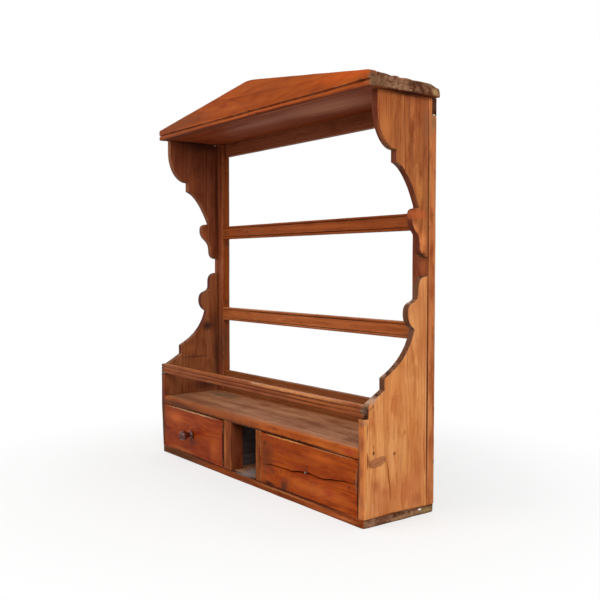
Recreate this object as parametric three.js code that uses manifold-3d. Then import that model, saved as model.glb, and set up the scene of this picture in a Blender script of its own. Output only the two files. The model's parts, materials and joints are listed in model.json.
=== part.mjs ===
// Pine wall plate rack with a gabled top, two plate rails, a reeded gallery
// rail over a shelf, and two drawers with a pigeonhole between them.
// Millimetres. X runs along the wall, +Y into the wall, +Z up.
import * as THREE from 'three';
import { mergeVertices } from 'three/addons/utils/BufferGeometryUtils.js';
import Module from 'manifold-3d';

const wasm = await Module();
wasm.setup();

// ---------------------------------------------------------------- sizes
const rackWidth = 950;          // over the outer faces of the sides
const baseDepth = 218;          // wall to the front of the base
const sideThickness = 19;       // lower sides and upper brackets
const fitGap = 0.3;             // clearance in every cut joint
const overcut = 1;              // how far a cutting shape runs past the wood

const stileWidth = 51;          // the uprights at the back
const stileDepth = 25;
const waistGap = 44;            // bare stile between the lower side and the upper bracket

const bottomThickness = 20;
const bottomInset = 2;          // ends of the bottom board, in from the sides

const topFrontThickness = 32;   // the top board tapers towards the wall
const topBackThickness = 26;
const topOverhangLeft = 8;
const topOverhangRight = 15;

const pedimentThickness = 20;
const pedimentEndHeight = { left: 28, right: 33 };
const pedimentPeakHeight = 95;
const pedimentPeakOffset = 20;  // the peak stands right of the middle
const pedimentPeakRound = 26;   // half length of the rounded peak
const pedimentEndRound = 9;
const pedimentBeadHeight = 12;
const pedimentBeadDepth = 5;
const pedimentQuirk = 3;        // groove above the bead

const topRailHeight = 41;
const topRailThickness = 14;    // let into the backs of the stiles

const railHeight = 40;
const railThickness = 19;
const upperRailBottom = 661;
const lowerRailBottom = 404.5;
const railBeadHeight = 6;       // beads along both edges of a plate rail
const railBeadDepth = 3;
const railQuirk = 2;
const tenonLength = 30;
const tenonThickness = 8;
const tenonShoulder = 6;        // above and below the tenon

const panelTop = 243;           // top edge of the back panel
const panelThickness = 14;
const panelRecess = 5;          // behind the fronts of the stiles

const galleryBottom = 245;
const galleryHeight = 28;
const galleryShoulderGap = 3;   // between the rail and the shoulders of the sides
const galleryThickness = 13;
const galleryInset = 1;         // ends of the rail, in from the sides
const reedCount = 3;
const reedDepth = 3;

const shelfBottom = 152;
const shelfThickness = 23;
const shelfHousing = 6;         // depth of the housings in the sides
const shelfHousingStop = 14;    // the housings stop behind the front edge
const shelfNosing = 8;          // rounding of the shelf's front top edge

const postDepth = 39;
const leftPostWidth = 38;
const rightPostWidth = 24;
const partitionThickness = 14;
const pigeonholeLeft = -70;     // inner faces of the divider posts
const pigeonholeRight = 50;

const drawerSideGap = 2;        // beside a drawer
const leftDrawerExtraGap = 4;   // the left drawer is a loose fit on its right
const drawerTopGap = 2.5;
const drawerRunGap = 0.3;       // under a drawer's running edges
const drawerFrontThickness = 19;
const drawerBoardThickness = 10;
const drawerStopGap = 0.5;      // back of a drawer to the stiles
const drawerBackDrop = 12;      // the back is lower than the sides
const drawerBottomThickness = 6;
const drawerBottomRaise = 7;    // under the bottom board of a drawer
const drawerGroove = 4;
const tailCount = 3;
const tailLength = 12;          // how far a tail runs into the front
const tailTip = 27;             // height of a tail at its wide end
const tailRoot = 21;            // height of a tail at its narrow end

const knobBulbRadius = 11.6;    // the swelling against the drawer
const knobBulbCentre = 4;
const knobBulbReach = 8.5;      // from its centre to its front end
const knobNeckRadius = 7.6;
const knobNeckAt = 14.5;        // thinnest place, in front of the drawer
const knobBallRadius = 14;
const knobBallCentre = 28.6;
const knobSpigotRadius = 5;
const knobSteps = 12;           // facets along the ball
const knobHeight = 63;          // above the drawer's lower edge
const stubRadius = 2.2;         // iron pin of the lost right-hand knob
const stubLength = 18;          // how far it runs into the drawer front
const stubProjection = 3;
const stubChamfer = 0.6;

// The upper bracket's front edge, from the top board down to the stile.
const bracket = {
  depth: { left: 192, right: 183 },
  frontDrop: 37,                // straight front under the top board
  ovoloHeight: 90,
  stepDepth: { left: 131, right: 126 },
  stepHeight: 27,
  coveDepth: 54,                // foot of the cove
  coveHeight: 99,
  coveBend: 0.09,               // share of its height the cove falls at first
  noseDepth: { left: 82, right: 75 },
  noseFlat: 8,
  noseHeight: 54,
  noseUpper: 0.35,              // share of the nose's rounding above its flat
  neckDepth: 62,
  toeDepth: 50,
  toeHeight: 57,
  toeHollow: 0.19,              // shares of the toe's height down to its hollow
  toeFlat: 0.53,                // and to where it rounds back to the stile
};

// The lower side's front edge, from the gallery rail up to the stile.
const side = {
  brow: 158,                    // depth at the top of the quarter round
  browHeight: 28,
  browBend: { depth: 0.4, height: 0.58 },
  stepHeight: 27,
  sweepDepth: 66,               // top end of the long sweep
  sweepHeight: 105,
  sweepBend: { depth: 0.17, height: 0.36 },
  lobeDepth: 87,
  lobeHeight: 61,
  lobeLow: 0.18,                // shares of the lobe's height to its lower
  lobeMiddle: 0.57,             // corner, its most forward point and its
  lobeHigh: 0.92,               // upper corner
  neckDepth: 53.5,
  neckHeight: 34,
  neckLow: 0.15,                // shares of the neck's height round its hollow
  neckHigh: 0.53,
  capHeight: 26,
};

// -------------------------------------------------------- derived levels
const outer = rackWidth / 2;
const inner = outer - sideThickness;
const stileInner = outer - stileWidth;
const galleryTop = galleryBottom + galleryHeight;
const galleryBack = baseDepth - galleryThickness;
const shelfTop = shelfBottom + shelfThickness;
const panelFront = stileDepth - panelRecess;
const leftPostLeft = pigeonholeLeft - leftPostWidth;
const rightPostRight = pigeonholeRight + rightPostWidth;
const pedimentBack = baseDepth - pedimentThickness;

// heights along the lower side's front edge
const browTop = galleryTop + side.browHeight;
const sweepFoot = browTop + side.stepHeight;
const sweepTop = sweepFoot + side.sweepHeight;
const lobeTop = sweepTop + side.lobeHeight;
const neckTop = lobeTop + side.neckHeight;
const sideTop = neckTop + side.capHeight;

// heights along the upper bracket's front edge, from its toe to the top board
const toe = sideTop + waistGap;
const noseNeck = toe + bracket.toeHeight;
const coveFoot = noseNeck + bracket.noseHeight;
const stepFoot = coveFoot + bracket.coveHeight;
const stepTop = stepFoot + bracket.stepHeight;
const springing = stepTop + bracket.ovoloHeight;
const uprightTop = springing + bracket.frontDrop;

// ------------------------------------------------------------- materials
const wood = (color, roughness) => new THREE.MeshStandardMaterial({ color, roughness, metalness: 0 });
const finish = {
  side: () => wood(0xb8703c, 0.5),
  carcass: () => wood(0x8a4a26, 0.55),
  worn: () => wood(0x8c6148, 0.7),
  top: () => wood(0x7d4a2c, 0.6),
  pediment: () => wood(0xa65a2c, 0.45),
  drawerFront: () => wood(0x9c4a1f, 0.42),
  drawerBoard: () => wood(0xa9825a, 0.75),
  hidden: () => wood(0x6b4630, 0.8),
  knob: () => wood(0x5a2a1e, 0.35),
  iron: () => new THREE.MeshStandardMaterial({ color: 0x4a4440, roughness: 0.6, metalness: 0.9 }),
};

// --------------------------------------------------------------- helpers
// A board between three pairs of limits. Depth is counted from the wall.
function board([left, right], [back, front], [low, high]) {
  const geometry = new THREE.BoxGeometry(right - left, front - back, high - low);
  geometry.translate((left + right) / 2, -(back + front) / 2, (low + high) / 2);
  return geometry;
}

// A section drawn in (minus depth, height), run along the wall.
function alongX(section, left, right, curveSegments = 8) {
  const options = { depth: right - left, bevelEnabled: false, curveSegments };
  const geometry = new THREE.ExtrudeGeometry(section, options);
  const turn = new THREE.Matrix4().makeBasis(
    new THREE.Vector3(0, 1, 0),
    new THREE.Vector3(0, 0, 1),
    new THREE.Vector3(1, 0, 0),
  );
  geometry.applyMatrix4(turn);
  geometry.translate(left, 0, 0);
  return geometry;
}

// An outline drawn in (x, height), as thick as the two depths say.
function alongY(outline, back, front, curveSegments = 8) {
  const options = { depth: front - back, bevelEnabled: false, curveSegments };
  const geometry = new THREE.ExtrudeGeometry(outline, options);
  const turn = new THREE.Matrix4().makeBasis(
    new THREE.Vector3(1, 0, 0),
    new THREE.Vector3(0, 0, 1),
    new THREE.Vector3(0, -1, 0),
  );
  geometry.applyMatrix4(turn);
  geometry.translate(0, -back, 0);
  return geometry;
}

function toSolid(geometry) {
  const bare = new THREE.BufferGeometry();
  bare.setAttribute('position', geometry.getAttribute('position'));
  if (geometry.index) {
    bare.setIndex(geometry.index);
  }
  const merged = mergeVertices(bare, 1e-4);
  return new wasm.Manifold(new wasm.Mesh({
    numProp: 3,
    vertProperties: new Float32Array(merged.getAttribute('position').array),
    triVerts: new Uint32Array(merged.index.array),
  }));
}

function toGeometry(solid) {
  const mesh = solid.getMesh();
  const geometry = new THREE.BufferGeometry();
  geometry.setAttribute('position', new THREE.BufferAttribute(mesh.vertProperties, 3));
  geometry.setIndex(new THREE.BufferAttribute(mesh.triVerts, 1));
  geometry.computeVertexNormals();
  return geometry;
}

function cut(geometry, ...tools) {
  const start = toSolid(geometry);
  return toGeometry(tools.reduce((rest, tool) => rest.subtract(toSolid(tool)), start));
}

function join(...pieces) {
  return toGeometry(pieces.map(toSolid).reduce((sum, piece) => sum.add(piece)));
}

function piece(name, geometry, material) {
  const mesh = new THREE.Mesh(geometry, material);
  mesh.name = name;
  return mesh;
}

// -------------------------------------------------------- top and gable
function topBoard() {
  const section = new THREE.Shape();
  section.moveTo(0, uprightTop);
  section.lineTo(0, uprightTop + topBackThickness);
  section.lineTo(-pedimentBack, uprightTop + topFrontThickness);
  section.lineTo(-pedimentBack, uprightTop);
  section.closePath();
  return alongX(section, -outer - topOverhangLeft, outer + topOverhangRight);
}

function pedimentBoard() {
  const left = -outer - topOverhangLeft;
  const right = outer + topOverhangRight;
  const low = uprightTop;
  const leftEaves = low + pedimentEndHeight.left;
  const rightEaves = low + pedimentEndHeight.right;
  const peak = low + pedimentPeakHeight;
  const leftSlope = (peak - leftEaves) / (pedimentPeakOffset - left);
  const rightSlope = (peak - rightEaves) / (right - pedimentPeakOffset);
  const gable = new THREE.Shape();
  gable.moveTo(left, low);
  gable.lineTo(left, leftEaves - pedimentEndRound);
  gable.quadraticCurveTo(left, leftEaves, left + pedimentEndRound, leftEaves + leftSlope * pedimentEndRound);
  gable.lineTo(pedimentPeakOffset - pedimentPeakRound, peak - leftSlope * pedimentPeakRound);
  gable.quadraticCurveTo(
    pedimentPeakOffset,
    peak,
    pedimentPeakOffset + pedimentPeakRound,
    peak - rightSlope * pedimentPeakRound,
  );
  gable.lineTo(right - pedimentEndRound, rightEaves + rightSlope * pedimentEndRound);
  gable.quadraticCurveTo(right, rightEaves, right, rightEaves - pedimentEndRound);
  gable.lineTo(right, low);
  gable.closePath();

  // what is cut away round the bead: the corner below it and the quirk above
  const beadMiddle = low + pedimentBeadHeight / 2;
  const beadBack = -baseDepth + pedimentBeadDepth;
  const waste = new THREE.Shape();
  waste.moveTo(-baseDepth - overcut, low - overcut);
  waste.lineTo(-baseDepth - overcut, low + pedimentBeadHeight + pedimentQuirk);
  waste.lineTo(beadBack, low + pedimentBeadHeight + pedimentQuirk);
  waste.lineTo(beadBack, low + pedimentBeadHeight);
  waste.absellipse(
    beadBack,
    beadMiddle,
    pedimentBeadDepth,
    pedimentBeadHeight / 2,
    Math.PI / 2,
    Math.PI * 1.5,
    false,
  );
  waste.lineTo(beadBack, low - overcut);
  waste.closePath();
  return cut(alongY(gable, pedimentBack, baseDepth), alongX(waste, left - overcut, right + overcut));
}

// --------------------------------------------------- brackets and sides
function bracketOutline(end) {
  const outline = new THREE.Shape();
  const front = bracket.depth[end];
  const step = bracket.stepDepth[end];
  const nose = bracket.noseDepth[end];
  const noseTop = coveFoot - (bracket.noseHeight - bracket.noseFlat) * bracket.noseUpper;
  const noseLow = noseTop - bracket.noseFlat;
  outline.moveTo(-stileDepth, uprightTop);
  outline.lineTo(-front, uprightTop);
  outline.lineTo(-front, springing);
  outline.absellipse(
    -step,
    springing,
    front - step,
    bracket.ovoloHeight,
    Math.PI,
    Math.PI * 1.5,
    false,
  );
  outline.lineTo(-step, stepFoot);
  const coveX = (step + bracket.coveDepth) / 2;
  const coveZ = stepFoot - bracket.coveHeight * bracket.coveBend;
  outline.quadraticCurveTo(-coveX, coveZ, -bracket.coveDepth, coveFoot);
  outline.quadraticCurveTo(-nose, coveFoot, -nose, noseTop);
  outline.lineTo(-nose, noseLow);
  outline.quadraticCurveTo(-nose, (noseLow + noseNeck) / 2, -bracket.neckDepth, noseNeck);
  const hollow = noseNeck - bracket.toeHeight * bracket.toeHollow;
  const flatEnd = noseNeck - bracket.toeHeight * bracket.toeFlat;
  outline.quadraticCurveTo(-bracket.toeDepth, hollow, -bracket.toeDepth, flatEnd);
  outline.quadraticCurveTo(-bracket.toeDepth, toe, -stileDepth, toe);
  outline.closePath();
  return outline;
}

function sideOutline() {
  const outline = new THREE.Shape();
  outline.moveTo(-stileDepth, bottomThickness);
  outline.lineTo(-baseDepth, bottomThickness);
  outline.lineTo(-baseDepth, galleryBottom - galleryShoulderGap);
  outline.lineTo(-galleryBack, galleryBottom - galleryShoulderGap);
  outline.lineTo(-galleryBack, galleryTop);
  const browX = side.brow + (galleryBack - side.brow) * side.browBend.depth;
  const browZ = galleryTop + side.browHeight * side.browBend.height;
  outline.quadraticCurveTo(-browX, browZ, -side.brow, browTop);
  outline.lineTo(-side.brow, sweepFoot);
  const sweepX = side.sweepDepth + (side.brow - side.sweepDepth) * side.sweepBend.depth;
  const sweepZ = sweepFoot + side.sweepHeight * side.sweepBend.height;
  outline.quadraticCurveTo(-sweepX, sweepZ, -side.sweepDepth, sweepTop);
  const lobeAt = (share) => sweepTop + side.lobeHeight * share;
  const neckAt = (share) => lobeTop + side.neckHeight * share;
  const shoulder = (side.lobeDepth + side.neckDepth) / 2;
  outline.quadraticCurveTo(-side.lobeDepth, lobeAt(side.lobeLow), -side.lobeDepth, lobeAt(side.lobeMiddle));
  outline.quadraticCurveTo(-side.lobeDepth, lobeAt(side.lobeHigh), -shoulder, lobeTop);
  outline.quadraticCurveTo(-side.neckDepth, neckAt(side.neckLow), -side.neckDepth, neckAt(side.neckHigh));
  outline.lineTo(-side.neckDepth, neckTop);
  outline.quadraticCurveTo(-side.neckDepth, sideTop, -stileDepth, sideTop);
  outline.closePath();
  return outline;
}

function upperBracket(hand) {
  const left = hand < 0 ? -outer : inner;
  const outline = bracketOutline(hand < 0 ? 'left' : 'right');
  return alongX(outline, left, left + sideThickness, 10);
}

// The lower side has a stopped housing on its inner face for the shelf.
function lowerSide(hand) {
  const left = hand < 0 ? -outer : inner;
  const blank = alongX(sideOutline(), left, left + sideThickness, 10);
  const face = hand * inner;
  const bottom = hand * (inner + shelfHousing);
  const housing = board(
    [Math.min(face - hand * overcut, bottom), Math.max(face - hand * overcut, bottom)],
    [stileDepth - overcut, baseDepth - shelfHousingStop],
    [shelfBottom - fitGap, shelfTop + fitGap],
  );
  return cut(blank, housing);
}

// -------------------------------------------------------- stiles and rails
function mortise(hand, railBottom) {
  const mouth = hand * (stileInner - overcut);
  const end = hand * (stileInner + tenonLength + fitGap);
  const middle = stileDepth - railThickness / 2;
  return board(
    [Math.min(mouth, end), Math.max(mouth, end)],
    [middle - tenonThickness / 2 - fitGap, middle + tenonThickness / 2 + fitGap],
    [railBottom + tenonShoulder - fitGap, railBottom + railHeight - tenonShoulder + fitGap],
  );
}

function stile(hand) {
  const left = hand < 0 ? -outer : stileInner;
  const blank = board([left, left + stileWidth], [0, stileDepth], [bottomThickness, uprightTop]);
  const lap = board(
    [left - overcut, left + stileWidth + overcut],
    [-overcut, topRailThickness + fitGap],
    [uprightTop - topRailHeight - fitGap, uprightTop + overcut],
  );
  return cut(blank, lap, mortise(hand, upperRailBottom), mortise(hand, lowerRailBottom));
}

// Half of the rail's front, from the middle to one beaded edge.
function beadedEdge(section, edge, towards) {
  const front = -stileDepth;
  const quirkFrom = edge - towards * (railBeadHeight + railQuirk);
  const beadRoot = edge - towards * railBeadHeight;
  const upwards = towards > 0;
  section.lineTo(front, quirkFrom);
  section.lineTo(front + railBeadDepth, quirkFrom);
  section.lineTo(front + railBeadDepth, beadRoot);
  section.absellipse(
    front + railBeadDepth,
    edge - towards * railBeadHeight / 2,
    railBeadDepth,
    railBeadHeight / 2,
    upwards ? Math.PI * 1.5 : Math.PI / 2,
    upwards ? Math.PI / 2 : Math.PI * 1.5,
    upwards,
  );
}

function railSection(bottom) {
  const back = railThickness - stileDepth;
  const middle = bottom + railHeight / 2;
  const section = new THREE.Shape();
  section.moveTo(-stileDepth, middle);
  beadedEdge(section, bottom, -1);
  section.lineTo(back, bottom);
  section.lineTo(back, bottom + railHeight);
  const upper = new THREE.Path();
  upper.moveTo(-stileDepth, middle);
  beadedEdge(upper, bottom + railHeight, 1);
  upper.getPoints(6).reverse().forEach((point) => section.lineTo(point.x, point.y));
  section.closePath();
  return section;
}

function plateRail(bottom) {
  const middle = stileDepth - railThickness / 2;
  const reach = stileInner + tenonLength;
  const tenons = board(
    [-reach, reach],
    [middle - tenonThickness / 2, middle + tenonThickness / 2],
    [bottom + tenonShoulder, bottom + railHeight - tenonShoulder],
  );
  return join(alongX(railSection(bottom), -stileInner, stileInner, 6), tenons);
}

function topBackRail() {
  return board([-outer, outer], [0, topRailThickness], [uprightTop - topRailHeight, uprightTop]);
}

// ------------------------------------------------------------- the base
function galleryRail() {
  const reed = galleryHeight / reedCount;
  const face = -baseDepth + reedDepth;
  const section = new THREE.Shape();
  section.moveTo(-galleryBack, galleryBottom);
  section.lineTo(-galleryBack, galleryTop);
  section.lineTo(face, galleryTop);
  for (let row = reedCount - 1; row >= 0; row -= 1) {
    const middle = galleryBottom + reed * (row + 0.5);
    section.absellipse(face, middle, reedDepth, reed / 2, Math.PI / 2, Math.PI * 1.5, false);
  }
  section.closePath();
  return alongX(section, -outer + galleryInset, outer - galleryInset, 7);
}

function shelfBoard() {
  const section = new THREE.Shape();
  section.moveTo(-panelFront, shelfBottom);
  section.lineTo(-panelFront, shelfTop);
  section.lineTo(-baseDepth + shelfNosing, shelfTop);
  section.quadraticCurveTo(-baseDepth, shelfTop, -baseDepth, shelfTop - shelfNosing);
  section.lineTo(-baseDepth, shelfBottom);
  section.closePath();
  const reach = inner + shelfHousing - fitGap;
  const past = reach + overcut;
  const notch = (hand, from, depths) => board(
    [Math.min(hand * from, hand * past), Math.max(hand * from, hand * past)],
    depths,
    [shelfBottom - overcut, shelfTop + overcut],
  );
  const frontSpan = [baseDepth - shelfHousingStop - fitGap, baseDepth + overcut];
  const stileSpan = [panelFront - overcut, stileDepth + fitGap];
  const frontCorner = (hand) => notch(hand, inner, frontSpan);
  const stileCorner = (hand) => notch(hand, stileInner - fitGap, stileSpan);
  const waste = [-1, 1].flatMap((hand) => [frontCorner(hand), stileCorner(hand)]);
  return cut(alongX(section, -reach, reach), ...waste);
}

function dividerPost(left, width) {
  return board([left, left + width], [baseDepth - postDepth, baseDepth], [bottomThickness, shelfBottom]);
}

function partition(left) {
  return board(
    [left, left + partitionThickness],
    [panelFront, baseDepth - postDepth],
    [bottomThickness, shelfBottom],
  );
}

// -------------------------------------------------------------- drawers
// A drawer is drawn closed, with its origin at the middle of the lower edge
// of its front face; y runs back from there.
function tail(middle, grow, x0, x1) {
  const tip = tailTip / 2 + grow;
  const root = tailRoot / 2 + grow;
  const start = drawerFrontThickness - tailLength - grow;
  const shape = new THREE.Shape();
  shape.moveTo(start, middle - tip);
  shape.lineTo(drawerFrontThickness + overcut, middle - root);
  shape.lineTo(drawerFrontThickness + overcut, middle + root);
  shape.lineTo(start, middle + tip);
  shape.closePath();
  return alongX(shape, x0, x1);
}

function tails(height, hand, half, grow, past) {
  const near = half - drawerBoardThickness - grow;
  const far = half + past;
  const x0 = Math.min(hand * near, hand * far);
  const x1 = Math.max(hand * near, hand * far);
  const pitch = height / tailCount;
  return Array.from({ length: tailCount }, (_, row) => tail(pitch * (row + 0.5), grow, x0, x1));
}

function drawerBlock([left, right], [front, back], [low, high]) {
  return board([left, right], [-back, -front], [low, high]);
}

function drawerFront(width, height, pin) {
  const half = width / 2;
  const blank = drawerBlock([-half, half], [0, drawerFrontThickness], [0, height]);
  const sockets = [-1, 1].flatMap((hand) => tails(height, hand, half, fitGap, overcut));
  const groove = drawerBlock(
    [-half + drawerBoardThickness - drawerGroove, half - drawerBoardThickness + drawerGroove],
    [drawerFrontThickness - drawerGroove, drawerFrontThickness + overcut],
    [drawerBottomRaise - fitGap, drawerBottomRaise + drawerBottomThickness + fitGap],
  );
  const boreLength = drawerFrontThickness + overcut + overcut;
  const bore = new THREE.CylinderGeometry(pin + fitGap, pin + fitGap, boreLength, 24);
  bore.translate(0, drawerFrontThickness / 2, knobHeight);
  return cut(blank, ...sockets, groove, bore);
}

function drawerSide(width, height, length, hand) {
  const half = width / 2;
  const outside = hand * half;
  const inside = hand * (half - drawerBoardThickness);
  const span = [Math.min(outside, inside), Math.max(outside, inside)];
  const plank = drawerBlock(span, [drawerFrontThickness + fitGap, length], [0, height]);
  const pins = tails(height, hand, half, 0, 0);
  const grooveFar = inside + hand * drawerGroove;
  const groove = drawerBlock(
    [Math.min(inside - hand * overcut, grooveFar), Math.max(inside - hand * overcut, grooveFar)],
    [0, length + overcut],
    [drawerBottomRaise - fitGap, drawerBottomRaise + drawerBottomThickness + fitGap],
  );
  return cut(join(plank, ...pins), groove);
}

function drawerBack(width, height, length) {
  const half = width / 2 - drawerBoardThickness;
  return drawerBlock(
    [-half, half],
    [length - drawerBoardThickness, length],
    [drawerBottomRaise + drawerBottomThickness, height - drawerBackDrop],
  );
}

function drawerBottom(width, length) {
  const half = width / 2 - drawerBoardThickness + drawerGroove - fitGap;
  return drawerBlock(
    [-half, half],
    [drawerFrontThickness - drawerGroove + fitGap, length],
    [drawerBottomRaise, drawerBottomRaise + drawerBottomThickness],
  );
}

// The knob's profile runs from the end of its spigot to the front of its ball.
function knob() {
  const bulbStart = Math.asin((fitGap - knobBulbCentre) / knobBulbReach);
  const bulbEnd = Math.acos(knobNeckRadius / knobBulbRadius);
  const ballStart = Math.asin(knobNeckRadius / knobBallRadius);
  const profile = new THREE.Path();
  profile.moveTo(0, -drawerFrontThickness);
  profile.lineTo(knobSpigotRadius, -drawerFrontThickness);
  profile.lineTo(knobSpigotRadius, fitGap);
  profile.absellipse(0, knobBulbCentre, knobBulbRadius, knobBulbReach, bulbStart, bulbEnd, false);
  profile.lineTo(knobNeckRadius, knobNeckAt);
  for (let step = 0; step <= knobSteps; step += 1) {
    const angle = ballStart + (Math.PI - ballStart) * (step / knobSteps);
    const radius = step === knobSteps ? 0 : knobBallRadius * Math.sin(angle);
    profile.lineTo(radius, knobBallCentre - knobBallRadius * Math.cos(angle));
  }
  return new THREE.LatheGeometry(profile.getPoints(5), 28);
}

function stub() {
  const profile = [
    new THREE.Vector2(0, -stubLength),
    new THREE.Vector2(stubRadius, -stubLength),
    new THREE.Vector2(stubRadius, stubProjection - stubChamfer),
    new THREE.Vector2(stubRadius - stubChamfer, stubProjection),
    new THREE.Vector2(0, stubProjection),
  ];
  return new THREE.LatheGeometry(profile, 16);
}

function drawer(name, left, right, fitting, pin) {
  const width = right - left;
  const height = shelfBottom - drawerTopGap - bottomThickness - drawerRunGap;
  const length = baseDepth - stileDepth - drawerStopGap;
  const group = new THREE.Group();
  group.position.set((left + right) / 2, -baseDepth, bottomThickness + drawerRunGap);
  const add = (part, geometry, material) => group.add(piece(`${name}_${part}`, geometry, material));
  add('front', drawerFront(width, height, pin), finish.drawerFront());
  add('left_side', drawerSide(width, height, length, -1), finish.drawerBoard());
  add('right_side', drawerSide(width, height, length, 1), finish.drawerBoard());
  add('back', drawerBack(width, height, length), finish.drawerBoard());
  add('bottom', drawerBottom(width, length), finish.drawerBoard());
  fitting.rotation.x = Math.PI;
  fitting.position.z = knobHeight;
  group.add(fitting);
  return group;
}

// ------------------------------------------------------------- assembly
const rack = new THREE.Group();
rack.position.y = baseDepth / 2;
const add = (name, geometry, material) => rack.add(piece(name, geometry, material));

add('top_board', topBoard(), finish.top());
add('pediment_board', pedimentBoard(), finish.pediment());
add('top_back_rail', topBackRail(), finish.carcass());
for (const [label, hand] of [['left', -1], ['right', 1]]) {
  add(`${label}_upper_bracket`, upperBracket(hand), finish.side());
  add(`${label}_lower_side`, lowerSide(hand), finish.side());
  add(`${label}_stile`, stile(hand), finish.carcass());
}
add('upper_plate_rail', plateRail(upperRailBottom), finish.carcass());
add('lower_plate_rail', plateRail(lowerRailBottom), finish.carcass());

const panelSpan = [-stileInner, stileInner];
const panelDepths = [panelFront - panelThickness, panelFront];
add('back_panel', board(panelSpan, panelDepths, [bottomThickness, panelTop]), finish.hidden());
add('gallery_rail', galleryRail(), finish.side());
add('shelf_board', shelfBoard(), finish.worn());
const bottomEnd = outer - bottomInset;
add('bottom_board', board([-bottomEnd, bottomEnd], [0, baseDepth], [0, bottomThickness]), finish.worn());
add('left_divider_post', dividerPost(leftPostLeft, leftPostWidth), finish.carcass());
add('right_divider_post', dividerPost(pigeonholeRight, rightPostWidth), finish.carcass());
add('left_partition', partition(leftPostLeft), finish.hidden());
add('right_partition', partition(rightPostRight - partitionThickness), finish.hidden());

const turnedKnob = piece('left_drawer_knob', knob(), finish.knob());
const brokenPin = piece('right_drawer_knob_pin', stub(), finish.iron());
rack.add(drawer(
  'left_drawer',
  -inner + drawerSideGap,
  leftPostLeft - drawerSideGap - leftDrawerExtraGap,
  turnedKnob,
  knobSpigotRadius,
));
rack.add(drawer(
  'right_drawer',
  rightPostRight + drawerSideGap,
  inner - drawerSideGap,
  brokenPin,
  stubRadius,
));

export default rack;
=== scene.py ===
import json
from math import pi, radians, sin

import bmesh
import bpy
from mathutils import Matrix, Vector, noise

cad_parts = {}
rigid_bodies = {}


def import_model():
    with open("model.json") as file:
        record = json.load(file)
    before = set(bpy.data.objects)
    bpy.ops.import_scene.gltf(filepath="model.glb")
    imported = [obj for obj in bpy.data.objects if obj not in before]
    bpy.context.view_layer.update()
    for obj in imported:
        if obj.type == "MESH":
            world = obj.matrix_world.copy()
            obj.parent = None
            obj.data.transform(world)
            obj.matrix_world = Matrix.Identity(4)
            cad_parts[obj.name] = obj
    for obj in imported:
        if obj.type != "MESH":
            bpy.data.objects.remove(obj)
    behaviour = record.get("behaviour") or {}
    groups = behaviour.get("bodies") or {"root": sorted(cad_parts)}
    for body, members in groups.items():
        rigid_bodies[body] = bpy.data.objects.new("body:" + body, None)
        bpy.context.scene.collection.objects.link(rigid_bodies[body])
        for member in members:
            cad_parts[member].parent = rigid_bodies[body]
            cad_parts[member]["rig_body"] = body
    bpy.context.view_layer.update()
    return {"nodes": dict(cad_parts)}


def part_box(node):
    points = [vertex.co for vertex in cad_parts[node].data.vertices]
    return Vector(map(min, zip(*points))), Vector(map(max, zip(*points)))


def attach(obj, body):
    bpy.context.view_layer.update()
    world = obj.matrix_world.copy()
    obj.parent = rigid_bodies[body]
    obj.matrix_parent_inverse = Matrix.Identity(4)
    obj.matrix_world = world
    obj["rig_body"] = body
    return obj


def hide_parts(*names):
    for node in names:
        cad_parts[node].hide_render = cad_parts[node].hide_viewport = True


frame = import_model()
noise.seed_set(5)  # the same waves and cracks in every run
scene = bpy.context.scene
print("frame loaded:", len(frame["nodes"]), "nodes")

# camera and two soft lamps
camera = {
    "place": (1.78995, -1.27116, 0.57897),
    "tilt": (87.538, -0.046, 53.103),
    "lens": 48.61,
    "sensor": 36,
    "far": 60,
}
lens = bpy.data.cameras.new("camera")
lens.sensor_width = camera["sensor"]
lens.lens = camera["lens"]
lens.clip_end = camera["far"]
viewer = bpy.data.objects.new("camera", lens)
viewer.location = camera["place"]
viewer.rotation_euler = [radians(angle) for angle in camera["tilt"]]
scene.collection.objects.link(viewer)
scene.camera = viewer
scene.view_settings.view_transform = "Standard"

lamps = {
    "key": {"place": (2.6, -1.5, 2.3), "size": 1.6, "power": 58, "tone": (1.0, 0.97, 0.93)},
    "front": {"place": (-0.6, -3.0, 1.7), "size": 2.2, "power": 38, "tone": (1.0, 0.98, 0.96)},
}
lampTarget = Vector((0, 0, 0.45))
for lampName, setup in lamps.items():
    lamp = bpy.data.lights.new(lampName, "AREA")
    lamp.shape = "DISK"
    lamp.size = setup["size"]
    lamp.energy = setup["power"]
    lamp.color = setup["tone"]
    holder = bpy.data.objects.new(lampName, lamp)
    holder.location = setup["place"]
    aim = lampTarget - holder.location
    holder.rotation_euler = aim.to_track_quat("-Z", "Y").to_euler()
    scene.collection.objects.link(holder)


def addNode(tree, kind, inputs=None, **settings):
    # inputs hold values or the sockets to link
    made = tree.nodes.new("ShaderNode" + kind)
    for key, value in settings.items():
        setattr(made, key, value)
    for key, value in (inputs or {}).items():
        if isinstance(value, bpy.types.NodeSocket):
            tree.links.new(value, made.inputs[key])
        else:
            made.inputs[key].default_value = value
    return made


def maths(tree, operation, *values):
    return addNode(tree, "Math", dict(enumerate(values)), operation=operation).outputs[0]


def times(tree, first, second):
    return maths(tree, "MULTIPLY", first, second)


def vectorMaths(tree, operation, *values, output=0):
    return addNode(tree, "VectorMath", dict(enumerate(values)), operation=operation).outputs[output]


def ease(tree, value, low, high, start=0.0, end=1.0):
    settings = {"Value": value, "From Min": low, "From Max": high, "To Min": start, "To Max": end}
    return addNode(tree, "MapRange", settings, interpolation_type="SMOOTHSTEP").outputs["Result"]


def mixTone(tree, amount, first, second, mode="MIX"):
    inputs = {0: amount, 6: first, 7: second}
    return addNode(tree, "Mix", inputs, data_type="RGBA", blend_type=mode).outputs[2]


def cover(tree, colour, layer, mask, share, mode="MIX"):
    return mixTone(tree, times(tree, mask, share), colour, layer, mode)


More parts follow.
